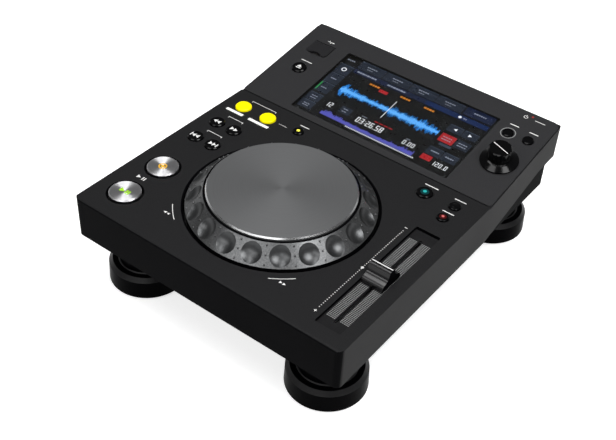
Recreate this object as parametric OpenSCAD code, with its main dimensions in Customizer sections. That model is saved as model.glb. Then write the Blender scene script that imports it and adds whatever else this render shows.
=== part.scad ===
// Table-top DJ media player: a flat deck with a jog wheel, a tempo fader and buttons,
// and a tilted display unit behind it. Millimetres, +Z up, origin on the table below the middle.

/* [Case] */
// Width over the side walls
body_w = 242; // [240:0.5:250]
// Depth from the front face to the rear end of the display unit
body_d = 301.6; // [300:0.2:306]
// Height of the flat deck case, from its floor to the deck
case_h = 34.9; // [33.9:0.2:38.9]
// Free height below the case, filled by the feet
foot_h = 47.6; // [44:0.2:52]
// Wall thickness of the upper and the lower case
wall = 2.6; // [2.2:0.1:2.8]
// Rounding of the long front edge of the deck
front_r = 1.8; // [1.4:0.2:5]
// Rounding of the upright corners at the front
corner_r = 5; // [4:0.5:7]
// Rounding of the upright corners at the rear
rear_corner_r = 7; // [5:0.5:7.5]
// Chamfer along the upper side edges
edge_break = 0.5; // [0.4:0.1:0.8]
// Hairline gap at a seam between two mouldings
seam = 0.2; // [0.1:0.05:0.3]
// Set-back of the lower case from the side of the upper case
wedge_inset = 1.2; // [0.8:0.1:1.4]

/* [Display unit] */
// Depth of the deck, from the front face to the crease
step_y = 188.3; // [187.3:0.1:189.3]
// Tilt of the display panel
tilt = 8.9; // [8.3:0.1:9.4]
// Thickness of the panel plate above its seat
panel_lip = 1.2; // [1:0.1:1.4]
// Full thickness of the panel plate
panel_t = 3; // [2.9:0.1:3.2]
// Depth of the lowest edge of the display unit below the deck
rear_drop = 12; // [11.5:0.5:13]
// Distance of the rear socket wall from the rear end
wall_setback = 13.6; // [13.2:0.1:14.6]
// Width of the screen window
screen_w = 151.6; // [148:0.2:153]
// Height of the screen window, along the panel
screen_h = 82; // [79:0.5:83]
// Distance of the screen window from the crease, along the panel
screen_s = 8.1; // [7.7:0.2:9.5]
// Thickness of the touch glass
glass_t = 1.8; // [1.4:0.1:2]

/* [Jog wheel] */
// Radius of the jog ring at its skirt
jog_r = 71; // [69.5:0.5:72]
// Radius of the top plate of the jog wheel
plate_r = 55; // [53:0.5:56]
// Height of the jog wheel above the deck
jog_h = 15.2; // [14:0.2:17]
// Distance of the jog axis from the front face
jog_y = 91.8; // [90.8:0.2:93.4]
// Number of finger dimples in the jog ring
dimples = 20; // [12:1:20]
// Radius of the mouth of one dimple
dimple_r = 8; // [6:0.5:8.5]
// Depth of one dimple
dimple_depth = 2.5; // [1.5:0.1:3]
// Turn of the jog ring at rest
dimple_turn = 1.5; // [0:0.5:18]
// Radius of the jog shaft
shaft_r = 4; // [3:0.5:5]
// Running clearance of the turning and sliding fits, on the radius
run_fit = 0.05; // [0.03:0.01:0.08]
// Travel of the jog top plate
plate_travel = 0.4; // [0.3:0.1:0.5]
// Number of slots in the encoder disc
encoder_slots = 48; // [24:4:60]

/* [Buttons] */
// Radius of the two big buttons
big_r = 12.1; // [11.1:0.2:13.1]
// Height of the big buttons above the deck
big_h = 1.6; // [1.2:0.2:3]
// Radius of the two loop buttons
loop_r = 6.7; // [6:0.1:7.4]
// Radius of the four search buttons and the stop button
search_r = 6.3; // [5.6:0.1:6.8]
// Radius of the smallest buttons
small_r = 4.6; // [4:0.1:5.2]
// Height of the small buttons above their surface
small_h = 1.6; // [1.2:0.1:2.2]
// Gap between a button and the wall of its hole
button_gap = 0.35; // [0.3:0.05:0.5]
// Travel of every button
travel = 0.5; // [0.3:0.1:0.6]
// Depth of the key boards below the deck and below the panel
board_depth = 11; // [10.8:0.2:12]

/* [Tempo fader] */
// Travel of the fader from end to end
fader_travel = 100; // [90:1:100]
// Width of the recess round the fader
recess_w = 20.6; // [20:0.2:22]
// Distance of the fader's middle from the front face
fader_y = 74.3; // [73.8:0.1:75.4]
// Height of the fader cap above the deck
cap_h = 11; // [9:0.5:12]
// Length of the fader cap along its travel
cap_l = 21.6; // [20:0.2:24]

/* [Feet] */
// Largest radius of a foot
foot_r = 30.6; // [29:0.2:31]
// Radius of the neck between a foot's ring and the case
neck_r = 22; // [18:0.5:22.4]
// Distance of the foot axes from the middle plane
foot_x = 87.1; // [85.5:0.2:88.1]
// Distance of the front foot axes from the front face
foot_front = 37; // [36:0.5:39]
// Distance of the rear foot axes from the rear end
foot_rear = 35.2; // [34.4:0.1:37]

/* [Hidden] */
$fn = 48;

eps = 0.02;
free_gap = 0.3;                       // air between two pieces that move past each other
deck_z = foot_h + case_h;             // height of the deck
half_w = body_w / 2;
front = -body_d / 2;                  // Y of the front face
floor_z = foot_h + wall;              // inside face of the floor
left = -half_w;
right = half_w;

// Side profile of the display unit, measured from the front face and from the table
rear_y = body_d;
rear_low_z = deck_z - rear_drop;
knee_y = rear_y - 31.6;               // where the underside turns level
knee_z = rear_low_z - 1.5;
panel_l = (rear_y - step_y - 3.4) / cos(tilt);
socket_y = rear_y - wall_setback;     // outside face of the rear socket wall

// A point of the tilted panel as [distance from the front face, height]
function panel_yz(s, off) = [step_y + s * cos(tilt) - off * sin(tilt),
                             deck_z + s * sin(tilt) + off * cos(tilt)];
// Height of the underside of the display unit at a distance from the front face
function under_z(y) = y < knee_y
    ? foot_h + (y - step_y) * (knee_z - foot_h) / (knee_y - step_y)
    : knee_z + (y - knee_y) * (rear_low_z - knee_z) / (rear_y - knee_y);

// The display module reaches a little beyond the window, and the glass beyond both its edges
screen_x = 1.4;                       // the window sits a little right of the middle
glass_w = screen_w + 3.6;
glass_l = screen_h + 3.6;
lcd_w = screen_w + 4.6;
lcd_l = screen_h + 2;
lcd_t = 5.4;
lcd_s = screen_s + screen_h / 2 + 1;  // its middle, along the panel
lcd_s0 = lcd_s - lcd_l / 2;
ledge_t = 2;                          // shelf that carries the edge of the panel
ledge_side = 2.8;
// Strips of the panel at the left and the right of the glass
strip_l = screen_x - glass_w / 2 - left;
strip_r = right - screen_x - glass_w / 2;

// Places of the controls: [x, distance from the front face]
play_at = [left + 25, 27.4];
cue_at = [left + 25, 67.2];
track_back_at = [left + 17.2, 112.6];
track_forward_at = [left + 34.6, 112.7];
search_back_at = [left + 17.2, 138.2];
search_forward_at = [left + 34.6, 138.3];
loop_in_at = [left + 18.9, 168.9];
loop_out_at = [left + 44.4, 169];
reloop_at = [left + 74.3, 171];
jog_mode_at = [right - 47.3, 171.5];
tempo_range_at = [right - 21.1, 172.2];
master_tempo_at = [right - 21.3, 155.6];
deck_keys = [play_at, cue_at, track_back_at, track_forward_at, search_back_at, search_forward_at,
             loop_in_at, loop_out_at, reloop_at, jog_mode_at, tempo_range_at, master_tempo_at];
// Places on the tilted panel: [x, distance from the crease along the panel]
stop_at = [left + 0.518 * strip_l, 49.5];
lid_at = [left + 0.513 * strip_l, 80];
menu_at = [right - wall - ledge_side - small_r - 3.1, 79.5];
back_at = [menu_at[0] - 0.62 * (menu_at[0] - screen_x - lcd_w / 2), 78.5];
selector_at = [right - 0.4833 * strip_r, 47.3];
lens_at = [right - 0.56 * strip_r, panel_l - 5.1];
panel_keys = [stop_at, back_at, menu_at];
fader_x = right - 20.6;
jog_mode_r = 6.4;
recess_l = fader_travel + cap_l + 0.8;

// Screws: [x, distance from the front face]
post_r = 4;
rear_post_y = socket_y - wall - post_r - 0.4;
deck_posts = [[-60, 9], [60, 9], [left + 35, step_y + 3], [right - 35, step_y + 3],
              [left + 21, rear_post_y], [right - 21, rear_post_y]];
board_posts = [[-72, step_y + 22], [72, step_y + 22], [-72, socket_y - 24], [72, socket_y - 24]];
// Pegs below the deck and below the panel that carry the key boards
deck_pegs = [[left + 9, 45], [left + 36, 45], [left + 9, 90], [left + 36, 90], [left + 60, 174],
             [right - 50, 155], [right - 34, 172], [right - 9, 164]];
panel_board_l = [left + wall + 3, screen_x - lcd_w / 2 - 8];
panel_board_r = [screen_x + lcd_w / 2 + 8, right - wall - 3];
panel_board_end = 85;
panel_pegs = [[panel_board_l[0] + 6.4, 43], [panel_board_l[1] - 3.2, 62], [panel_board_l[0] + 4.4, 66],
              [panel_board_r[1] - 4.4, 38], [panel_board_r[0] + 3.8, 38],
              [panel_board_r[1] - 4.4, 68], [panel_board_r[0] + 3.8, 64]];
peg_r = 2.6;
screw_r = 1.5;
screw_head_r = 3;

// Depths of the pieces below the deck
fader_plate_t = 1.2;
fader_frame_h = 9;
board_t = 1.6;
switch_h = 3.5;
plunger_h = 1.5;
main_z = floor_z + 2;                 // underside of the main board
main_half_w = 78;
cable_w = 12;
cable_t = 0.4;
screen_cable_w = 24;
screen_cable_x = -52;

module box(x0, x1, y0, y1, z0, z1) {
    translate([x0, y0, z0]) cube([x1 - x0, y1 - y0, z1 - z0]);
}

module at_front() {
    translate([0, front, 0]) children();
}

// Origin on the deck, Y still measured from the front face
module on_deck(p) {
    translate([p[0], front + p[1], deck_z]) children();
}

// Frame of the tilted panel: X across, Y along the slope, Z out of the panel
module on_panel() {
    translate([0, front + step_y, deck_z]) rotate([tilt, 0, 0]) children();
}

module rounded(w, d, r) {
    square([w - 2 * r, d], center = true);
    square([w, d - 2 * r], center = true);
    for (sx = [-1, 1], sy = [-1, 1])
        translate([sx * (w / 2 - r), sy * (d / 2 - r)]) circle(r);
}

module rounded_block(w, d, r, z0, z1) {
    translate([0, 0, z0]) linear_extrude(z1 - z0) rounded(w, d, r);
}

// Extrudes a side profile, drawn as [y, z], across a width centred on the middle plane
module across(w) {
    translate([-w / 2, front, 0])
        rotate([90, 0, 90]) linear_extrude(w) children();
}

module ring(r_out, r_in, z0, z1) {
    translate([0, 0, z0]) difference() {
        cylinder(r = r_out, h = z1 - z0);
        translate([0, 0, -1]) cylinder(r = r_in, h = z1 - z0 + 2);
    }
}

module hole(r, z0, z1) {
    translate([0, 0, z0]) cylinder(r = r, h = z1 - z0);
}

// Case

// Outline seen from above: small corners in front, larger ones at the rear
module case_plan(w, d, front_corner, rear_corner) {
    rounded(w, d, rear_corner);
    translate([0, -d / 4]) rounded(w, d / 2, front_corner);
}

module case_outline() {
    polygon([
        [0, foot_h],
        [0, deck_z - front_r],
        [front_r, deck_z],
        [step_y, deck_z],
        panel_yz(0, -panel_lip),
        panel_yz(panel_l, -panel_lip),
        [rear_y, rear_low_z],
        [knee_y, knee_z],
        [step_y, foot_h]
    ]);
    translate([front_r, deck_z - front_r]) circle(front_r);
}

ledge_front = lcd_s0 - wall - 1.2;    // it stops short of the display module
ledge_rear = 0.4 * (panel_l - wall - lcd_s0 - lcd_l);
ceiling = panel_t + ledge_t;

module case_hollow() {
    polygon([
        [wall, foot_h - 1],
        [wall, deck_z - wall],
        [step_y - 5, deck_z - wall],
        [step_y - 5, deck_z - ceiling],
        panel_yz(0, -ceiling),
        panel_yz(panel_l - wall, -ceiling),
        [rear_y - wall, rear_low_z + wall],
        [socket_y - 2 * wall, rear_low_z + wall],
        [socket_y - 2 * wall, foot_h - 1]
    ]);
}

// Seat of the panel plate, cut down to a depth below the panel's face
module panel_seat(side, front_end, rear_end, depth) {
    on_panel()
        translate([-half_w + side, front_end, -depth])
            cube([body_w - 2 * side, panel_l - front_end - rear_end, depth + 2]);
}

// Chamfers of both side edges, along the deck and along the panel
module side_breaks() {
    for (side = [0, 1]) mirror([side, 0, 0]) {
        translate([half_w, front + step_y + 5, deck_z]) edge_prism(step_y + 6);
        on_panel() translate([half_w, panel_l + 1, -panel_lip]) edge_prism(panel_l + 1);
    }
}

// Prism along an edge that runs towards the front, its corner at the origin
module edge_prism(length) {
    rotate([90, 0, 0]) linear_extrude(length)
        polygon([[-edge_break - 1, 1], [1, -edge_break - 1], [1, 1]]);
}

module deck_hole(p, r) {
    on_deck(p) hole(r, -wall - 1, 1);
}

module top_case() {
    color("#2e2f31") {
        difference() {
            intersection() {
                across(body_w + 2) case_outline();
                translate([0, 0, foot_h - 1])
                    linear_extrude(case_h + 60) case_plan(body_w, body_d, corner_r, rear_corner_r);
            }
            across(body_w - 2 * wall) case_hollow();
            side_breaks();
            panel_seat(wall, wall, wall, panel_t);
            panel_seat(wall + ledge_side, wall + ledge_front, wall + ledge_rear, ceiling + 1);
            // well of the jog wheel, with a chamfered rim
            on_deck([0, jog_y]) {
                hole(jog_r + 1.2, -wall - 1, 1);
                translate([0, 0, -1.6])
                    cylinder(r1 = jog_r + 1.2, r2 = jog_r + 2.8 + eps, h = 1.6 + eps);
            }
            for (p = [play_at, cue_at]) {
                deck_hole(p, big_r + 1);
                on_deck(p) translate([0, 0, -1])
                    cylinder(r1 = big_r + 1, r2 = big_r + 2 + eps, h = 1 + eps);
            }
            for (p = [loop_in_at, loop_out_at]) deck_hole(p, loop_r + button_gap);
            for (p = [track_back_at, track_forward_at, search_back_at, search_forward_at])
                deck_hole(p, search_r + button_gap);
            for (p = [reloop_at, tempo_range_at, master_tempo_at])
                deck_hole(p, small_r + button_gap);
            deck_hole(jog_mode_at, jog_mode_r + button_gap);
            // recess of the fader
            on_deck([fader_x, fader_y])
                rounded_block(recess_w, recess_l, 1, -wall - 1, 1);
            on_panel() translate([lens_at[0], lens_at[1], 0]) hole(1.2, -ceiling - 1, 1);
        }
        // screw posts, down to the floor of the lower case
        at_front() for (p = deck_posts) case_post(p);
        // collar that guides each big button
        for (p = [play_at, cue_at])
            on_deck(p) ring(big_r + 2.6, big_r + 1, -wall - 4, -wall + eps);
        // pegs for the key boards
        for (p = deck_pegs) on_deck(p) peg(wall);
    }
}

// Post from the floor up to the deck or up to the panel's shelf
module case_post(p) {
    top = p[1] < step_y ? deck_z - wall / 2
        : deck_z + (p[1] - step_y) * tan(tilt) - (panel_t + ledge_t / 2) / cos(tilt);
    translate([p[0], p[1], floor_z]) difference() {
        union() {
            cylinder(r = post_r, h = top - floor_z);
            post_root(p, top - floor_z);
        }
        translate([0, 0, -1]) cylinder(r = screw_r, h = 13);
    }
}

// Peg from below a plate down to a board
module peg(skin) {
    ring(peg_r, 1, -board_depth, -skin + eps);
}

// Web that ties a post near the rear corners to the side wall and the shelf
module post_root(p, h) {
    if (p[1] > step_y) {
        side = p[0] < 0 ? -1 : 1;
        reach = half_w - wall - abs(p[0]) + 1;
        translate([side > 0 ? 0 : -reach, -1, 22]) cube([reach, 2, h - 22 - 0.5]);
    }
}

// Lower case: the floor between the walls, and the wedge below the display unit
module bottom_case() {
    color("#1b1c1d") {
        difference() {
            union() {
                // floor under the deck
                at_front() box(left + wall + seam, right - wall - seam, wall + seam, step_y + 12,
                               foot_h, floor_z);
                // wedge with its side walls and the socket wall
                intersection() {
                    difference() {
                        across(body_w - 2 * wedge_inset) wedge_outline();
                        across(body_w - 2 * wedge_inset - 2 * wall) wedge_hollow();
                    }
                    translate([0, -wall_setback / 2, 0]) linear_extrude(deck_z)
                        rounded(body_w - 2 * wedge_inset, body_d - wall_setback, corner_r);
                }
                at_front() {
                    for (p = board_posts) translate([p[0], p[1], floor_z - eps])
                        cylinder(r = 3.4, h = main_z - floor_z + eps);
                    for (p = foot_spots()) translate([p[0], p[1], floor_z - eps])
                        cylinder(r = 6, h = 8);
                    floor_ribs();
                }
            }
            at_front() {
                for (p = deck_posts) translate([p[0], p[1], foot_h - 1]) {
                    cylinder(r = screw_r + 0.3, h = 10);
                    cylinder(r = screw_head_r + 0.3, h = 1 + 1.4);
                }
                for (p = board_posts) translate([p[0], p[1], foot_h + 1])
                    cylinder(r = screw_r - 0.2, h = 12);
                for (p = foot_spots()) translate([p[0], p[1], foot_h - 1])
                    cylinder(r = foot_screw_r + 0.05, h = 9);
                floor_vents();
                socket_cutouts();
            }
        }
    }
}

function foot_spots() = [[-foot_x, foot_front], [foot_x, foot_front],
                         [-foot_x, rear_y - foot_rear], [foot_x, rear_y - foot_rear]];

module wedge_outline() {
    polygon([
        [step_y + 0.5, foot_h],
        [socket_y, foot_h],
        [socket_y, under_z(socket_y) - seam],
        [knee_y, knee_z - seam],
        [step_y + 0.5, foot_h + 0.02]
    ]);
}

module wedge_hollow() {
    polygon([
        [step_y - 5, floor_z],
        [socket_y - wall, floor_z],
        [socket_y - wall, deck_z],
        [step_y - 5, deck_z]
    ]);
}

rib_t = 1.6;
rib_h = 4;

module floor_ribs() {
    for (i = [-1, 0, 1]) translate([i * body_w / 5.4, 0, 0])
        box(-rib_t / 2, rib_t / 2, 20, step_y - 20, floor_z - eps, floor_z + rib_h);
    for (i = [1, 2]) translate([0, i * step_y / 3, 0])
        box(left + wall + 4, right - wall - 4, -rib_t / 2, rib_t / 2, floor_z - eps, floor_z + rib_h);
}

// Two fields of air slots, in the middle of the floor
module floor_vents() {
    for (side = [-1, 1], i = [0 : 7])
        translate([side * 22, 72 + i * 5, foot_h - 1])
            linear_extrude(wall + 2) rounded(34, 2.2, 1);
}

// Sockets in the rear wall: x of each one's middle
power_x = 66;
inlet_x = 48;
usb_rear_x = 22;
network_x = -4;
audio_x = [-32, -50];
lock_x = -72;
socket_z = main_z + board_t;          // the board's upper face carries the sockets
power_r = 4;
power_z = socket_z + 6;
audio_z = socket_z + 6.5;
inlet_z = socket_z + 5.5;
inlet_bore_r = 3.2;
audio_r = 4.2;
audio_boss_r = 5.3;
audio_boss_out = 0.8;                 // the boss stands this far out of the rear wall
audio_barrel_out = 8.4;

module socket_cutouts() {
    y0 = socket_y - wall - 1;
    y1 = socket_y + 1;
    rear_hole(power_x, power_z, power_r + button_gap, y0, y1);
    rear_hole(inlet_x, inlet_z, 5.2, y0, y1);
    for (x = audio_x) rear_hole(x, audio_z, audio_boss_r + free_gap, y0, y1);
    box(usb_rear_x - 6.3, usb_rear_x + 6.3, y0, y1, socket_z - 0.1, socket_z + 11.2);
    box(network_x - 8.3, network_x + 8.3, y0, y1, socket_z - 0.1, socket_z + 13.6);
    box(lock_x - 3.5, lock_x + 3.5, y0, y1, socket_z + 3, socket_z + 6);
}

module rear_hole(x, z, r, y0, y1) {
    translate([x, y0, z]) rotate([-90, 0, 0]) cylinder(r = r, h = y1 - y0);
}

// Display unit

usb_lid_w = 20.4;
usb_lid_l = 16;
lid_x = lid_at[0];
lid_front = lid_at[1] - usb_lid_l / 2; // front edge of the lid, along the panel
lid_t = 1.6;
lid_rise = 0.7;                       // the lid stands this far out of the panel
lid_gap = 0.4;
lid_barrel_r = 1.9;                   // the rear edge of the lid is rolled round its pin
lid_axis = [lid_front + usb_lid_l - lid_barrel_r, lid_rise - lid_barrel_r];
lid_pin_r = 0.7;
notch_r = 7.2;                        // finger notch at the front edge of the lid
notch_deep = 2.2;
usb_at = lid_front + 5.4;
knob_skirt_r = 15.2;
knob_r = 9.2;
knob_h = 14.4;
knob_lift = 0.9;
stem_r = 3;
encoder_w = 13;

module display_bezel() {
    color("#242527") on_panel() difference() {
        union() {
            // lip that covers the seat, set back a little from the sides
            translate([0, panel_l / 2 + 0.4, -panel_lip])
                linear_extrude(panel_lip)
                    case_plan(body_w - 1.8, panel_l - 2.4, 2.5, rear_corner_r - 0.9);
            // body of the plate, between the walls of the case
            translate([left + wall + seam, wall + seam, -panel_t])
                cube([body_w - 2 * wall - 2 * seam, panel_l - 2 * wall - 2 * seam,
                      panel_t - panel_lip + eps]);
            // bosses that carry the screen's carrier
            for (p = carrier_spots()) translate([p[0], p[1], -panel_t - 6])
                cylinder(r = 2.6, h = 6 + eps);
            for (p = panel_pegs) translate([p[0], p[1], 0]) peg(panel_t);
        }
        // window and the pocket of the glass
        translate([screen_x, screen_s + screen_h / 2, 0]) {
            rounded_block(screen_w, screen_h, 1.2, -panel_t - 1, 1);
            rounded_block(glass_w, glass_l, 1.2, -panel_t - 1, -panel_t + glass_t + 0.3);
        }
        // pocket of the lid, its finger notch and the way to the socket
        translate([lid_x, lid_at[1], lid_rise - lid_t - 0.3]) linear_extrude(3) lid_plan(lid_gap);
        translate([lid_x, usb_at, 0]) rounded_block(13.8, 6.5, 0.4, -panel_t - 1, 1);
        translate([lid_x, lid_front + 4.6, 0]) hole(notch_r, -notch_deep, 1);
        // slot below the rolled edge, and the bore of its pin
        translate([lid_x, lid_axis[0], 0]) rounded_block(
            usb_lid_w + 2 * lid_gap, 2 * (lid_barrel_r + lid_gap), 0.5, -panel_t - 1, 1);
        translate([lid_x, lid_axis[0], lid_axis[1]]) rotate([0, 90, 0])
            cylinder(r = lid_pin_r, h = usb_lid_w + 6, center = true);
        for (p = [back_at, menu_at]) translate([p[0], p[1], 0])
            hole(small_r + button_gap, -panel_t - 1, 1);
        translate([stop_at[0], stop_at[1], 0]) hole(search_r + button_gap, -panel_t - 1, 1);
        translate([selector_at[0], selector_at[1], 0]) hole(stem_r + 1.4, -panel_t - 1, 1);
        translate([lens_at[0], lens_at[1], 0]) hole(1, -panel_t - 1, 1);
        for (p = carrier_spots()) translate([p[0], p[1], -panel_t - 7])
            cylinder(r = 0.9, h = 6);
    }
}

function carrier_spots() = [for (x = [screen_x - lcd_w / 2 - 4, screen_x + lcd_w / 2 + 4],
                                 s = [screen_s + 2, screen_s + screen_h + 2]) [x, s]];

module screen_glass() {
    color("#101318") on_panel()
        translate([screen_x, screen_s + screen_h / 2, 0])
            rounded_block(glass_w - 0.4, glass_l - 0.4, 1, -panel_t + 0.3,
                          -panel_t + glass_t + 0.3);
}

// The display panel lies below the glass, in a thin metal tray
module lcd_module() {
    color("#8d9094") on_panel()
        translate([screen_x, lcd_s, 0]) difference() {
            rounded_block(lcd_w, lcd_l, 1, -panel_t - lcd_t, -panel_t);
            // stepped back plate with the connector's window
            translate([0, 0, -panel_t - lcd_t - 1])
                linear_extrude(1.6) square([lcd_w - 24, lcd_l - 24], center = true);
        }
}

module lcd_carrier() {
    z1 = -panel_t - 6;
    color("#a5a8ab") on_panel() difference() {
        union() {
            translate([screen_x, lcd_s, z1 - 1.2]) linear_extrude(1.2)
                difference() {
                    rounded(lcd_w - 2, lcd_l - 2, 3);
                    rounded(lcd_w - 40, lcd_l - 40, 3);
                }
            for (p = carrier_spots()) {
                inward = p[0] < 0 ? 1 : -1;
                translate([p[0] + inward * 4.4, p[1], z1 - 0.6])
                    cube([15, 6, 1.2], center = true);
            }
            // pads that press on the back of the display
            for (sx = [-1, 1], ss = [-1, 1])
                translate([screen_x + sx * (lcd_w / 2 - 19), lcd_s + ss * (lcd_l / 2 - 4.5), z1 - eps])
                    cylinder(r = 2.5, h = 0.6 + eps);
        }
        for (p = carrier_spots()) translate([p[0], p[1], z1 - 3]) cylinder(r = 1.2, h = 5);
    }
}

// Outline of the lid, grown by a gap: wide corners in front, small ones at the hinge
module lid_plan(gap) {
    w = usb_lid_w + 2 * gap;
    l = usb_lid_l + 2 * gap;
    rounded(w, l, 3 + gap);
    translate([0, l / 4]) rounded(w, l / 2, gap > 0 ? 0.5 : 1.4);
}

module usb_lid() {
    color("#1f2022") on_panel() difference() {
        intersection() {
            translate([lid_x, lid_at[1], -4]) linear_extrude(6) lid_plan(0);
            translate([lid_x - usb_lid_w, 0, 0]) rotate([90, 0, 90])
                linear_extrude(2 * usb_lid_w) lid_profile();
        }
        translate([lid_x, lid_axis[0], lid_axis[1]]) rotate([0, 90, 0])
            cylinder(r = lid_pin_r + run_fit, h = usb_lid_w + 2, center = true);
        translate([lid_x, lid_front - 6.4, 0]) hole(9, -4, 3);
    }
}

// Plate with a rolled rear edge, drawn as [along the panel, out of the panel]
module lid_profile() {
    translate([lid_front - 1, lid_rise - lid_t]) square([lid_axis[0] - lid_front + 1, lid_t]);
    translate(lid_axis) circle(lid_barrel_r);
}

module lid_pin() {
    color("#c9cbcd") on_panel()
        translate([lid_x, lid_axis[0], lid_axis[1]]) rotate([0, 90, 0])
            cylinder(r = lid_pin_r, h = usb_lid_w + 5.6, center = true);
}

// Socket for a memory stick: a metal sleeve with a tongue, standing below the lid
module usb_stick_socket() {
    top = lid_rise - lid_t - 0.5;
    depth = board_depth + top;
    color("#c3c6c8") on_panel() translate([lid_x, usb_at, 0]) {
        difference() {
            rounded_block(13.2, 5.9, 0.4, top - depth, top);
            rounded_block(12.5, 5.2, 0.3, top - depth + 0.8, top + 1);
        }
        translate([-5.7, 0.7, top - depth + 0.4]) cube([11.4, 1.8, depth - 1.4]);
    }
}

module standby_lens() {
    color("#d8483a") on_panel() translate([lens_at[0], lens_at[1], 0]) {
        hole(0.95, -board_depth + 2, 0.1);
    }
}

// Buttons: a cap, a flange that holds it below the surface, and a stem that meets its switch

stem_end = board_depth - switch_h - plunger_h - travel - free_gap;

module button_body(r, h, skin, cap_round) {
    flange_top = -skin - free_gap;
    rotate_extrude() polygon([
        [0, -stem_end], [2, -stem_end], [2, flange_top - 1.2], [r + 1.2, flange_top - 1.2],
        [r + 1.2, flange_top], [r, flange_top], [r, h - cap_round], [r - cap_round, h], [0, h]
    ]);
}

module play_button() { color("#c7c9ca") on_deck(play_at) big_button_cap(); }
module cue_button() { color("#c7c9ca") on_deck(cue_at) big_button_cap(); }

// The cap is a cup: its wall slides in the collar and its stem reaches the switch
module big_button_cap() {
    low = -wall - 4 - free_gap - 1;
    rotate_extrude() polygon([
        [0, -stem_end], [2.4, -stem_end], [2.4, big_h - 3], [big_r - 1.4, big_h - 3],
        [big_r - 1.4, low], [big_r + 2.4, low], [big_r + 2.4, low + 1],
        [big_r, low + 1], [big_r, big_h - 0.8], [big_r - 0.8, big_h],
        [big_r - 2.2, big_h], [0, big_h - 0.6]
    ]);
}

module loop_in_button() { color("#e8dc2a") on_deck(loop_in_at) button_body(loop_r, small_h + 0.3, wall, 0.8); }
module loop_out_button() { color("#e8dc2a") on_deck(loop_out_at) button_body(loop_r, small_h + 0.3, wall, 0.8); }
module reloop_button() { color("#191a1b") on_deck(reloop_at) button_body(small_r, small_h, wall, 0.5); }
module search_button(p) { color("#191a1b") on_deck(p) button_body(search_r, small_h, wall, 0.6); }
module search_back_button() { search_button(search_back_at); }
module search_forward_button() { search_button(search_forward_at); }
module track_back_button() { search_button(track_back_at); }
module track_forward_button() { search_button(track_forward_at); }
module jog_mode_button() { color("#1c8f8a") on_deck(jog_mode_at) button_body(jog_mode_r, small_h, wall, 0.6); }
module tempo_range_button() { color("#191a1b") on_deck(tempo_range_at) button_body(small_r, small_h, wall, 0.5); }
module master_tempo_button() { color("#6e1f1c") on_deck(master_tempo_at) button_body(small_r, small_h, wall, 0.5); }
module panel_button(p, r) {
    on_panel() translate([p[0], p[1], 0]) button_body(r, small_h, panel_t, 0.6);
}
module usb_stop_button() { color("#191a1b") panel_button(stop_at, search_r); }
module back_button() { color("#191a1b") panel_button(back_at, small_r); }
module menu_button() { color("#191a1b") panel_button(menu_at, small_r); }

// Power button in the rear wall, pressed towards the front
module power_button() {
    color("#191a1b") at_front() translate([power_x, socket_y, power_z]) rotate([-90, 0, 0])
        rotate_extrude() polygon([
            [0, -7], [1.6, -7], [1.6, -wall - free_gap - 1.2],
            [power_r + 1.2, -wall - free_gap - 1.2], [power_r + 1.2, -wall - free_gap],
            [power_r, -wall - free_gap], [power_r, 1.4], [power_r - 0.5, 1.9], [0, 1.9]
        ]);
}

// Jog wheel, drawn with its axis at the origin and the deck at height 0

skirt_low = -3.4;
cone_low = [jog_r, 0.8];
cone_high = [plate_r + 2.8, jog_h - 2.3];
cone_len = norm(cone_high - cone_low);
cone_dir = (cone_high - cone_low) / cone_len;
cone_normal = [cone_dir[1], -cone_dir[0]];
cone_mid = (cone_low + cone_high) / 2;
plate_low = jog_h - 2.4;
shelf = plate_low - plate_travel - free_gap;
web_t = 2.4;
hub_r = 10;
hub_low = 2;
boss_r = 6;
boss_low = 7.6;
shell_t = dimple_depth + 2.4;

module jog_profile() {
    inner_low = cone_low - cone_normal * shell_t;
    inner_high = cone_high - cone_normal * shell_t;
    polygon([
        [jog_r - 2.4, skirt_low], [jog_r, skirt_low], cone_low, cone_high,
        [plate_r + 2.4, jog_h - 1.8], [plate_r + 1.6, jog_h - 1.8], [plate_r + 1.6, shelf],
        [0, shelf], [0, hub_low], [hub_r, hub_low], [hub_r, shelf - web_t],
        [inner_high[0] - 2, shelf - web_t], [inner_high[0], inner_high[1] - 1.5],
        [inner_low[0] - 1, inner_low[1]]
    ]);
}

// The ring with its dimples is one moulding with the web and the hub
module jog_ring() {
    bowl_r = (dimple_r * dimple_r + dimple_depth * dimple_depth) / (2 * dimple_depth);
    bowl_at = cone_mid + cone_normal * (bowl_r - dimple_depth);
    color("#77797c") on_deck([0, jog_y]) difference() {
        rotate_extrude($fn = 120) jog_profile();
        for (i = [0 : dimples - 1])
            rotate([0, 0, dimple_turn + i * 360 / dimples])
                translate([bowl_at[0], 0, bowl_at[1]]) sphere(r = bowl_r, $fn = 64);
        hole(boss_r + run_fit, boss_low - 0.5, jog_h);
        hole(shaft_r, hub_low - 1, boss_low - 1.4);
        // openings of the web, between its six spokes
        for (i = [0 : 5]) rotate([0, 0, i * 60]) web_window();
    }
}

// One opening of the web, between two spokes
module web_window() {
    translate([0, 0, shelf - web_t - 1]) linear_extrude(web_t + 2) intersection() {
        difference() {
            circle(plate_r - 10);
            circle(hub_r + 8);
        }
        polygon([[6, 3.5], [plate_r, 3.5], [plate_r, 24], [plate_r * 0.6, plate_r * 0.9], [4, 4]]);
    }
}

module jog_plate() {
    color("#8b8d90") on_deck([0, jog_y]) rotate_extrude($fn = 120) polygon([
        [0, boss_low], [boss_r, boss_low], [boss_r, plate_low], [plate_r + 0.9, plate_low],
        [plate_r + 0.9, jog_h - 1], [plate_r, jog_h], [0, jog_h]
    ]);
}

well_r = jog_r + 3.2;
well_floor = -9;
bearing_r = 8;
bearing_low = -18;
disc_z = -5.1;
disc_t = 0.6;
disc_r = 30;

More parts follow.
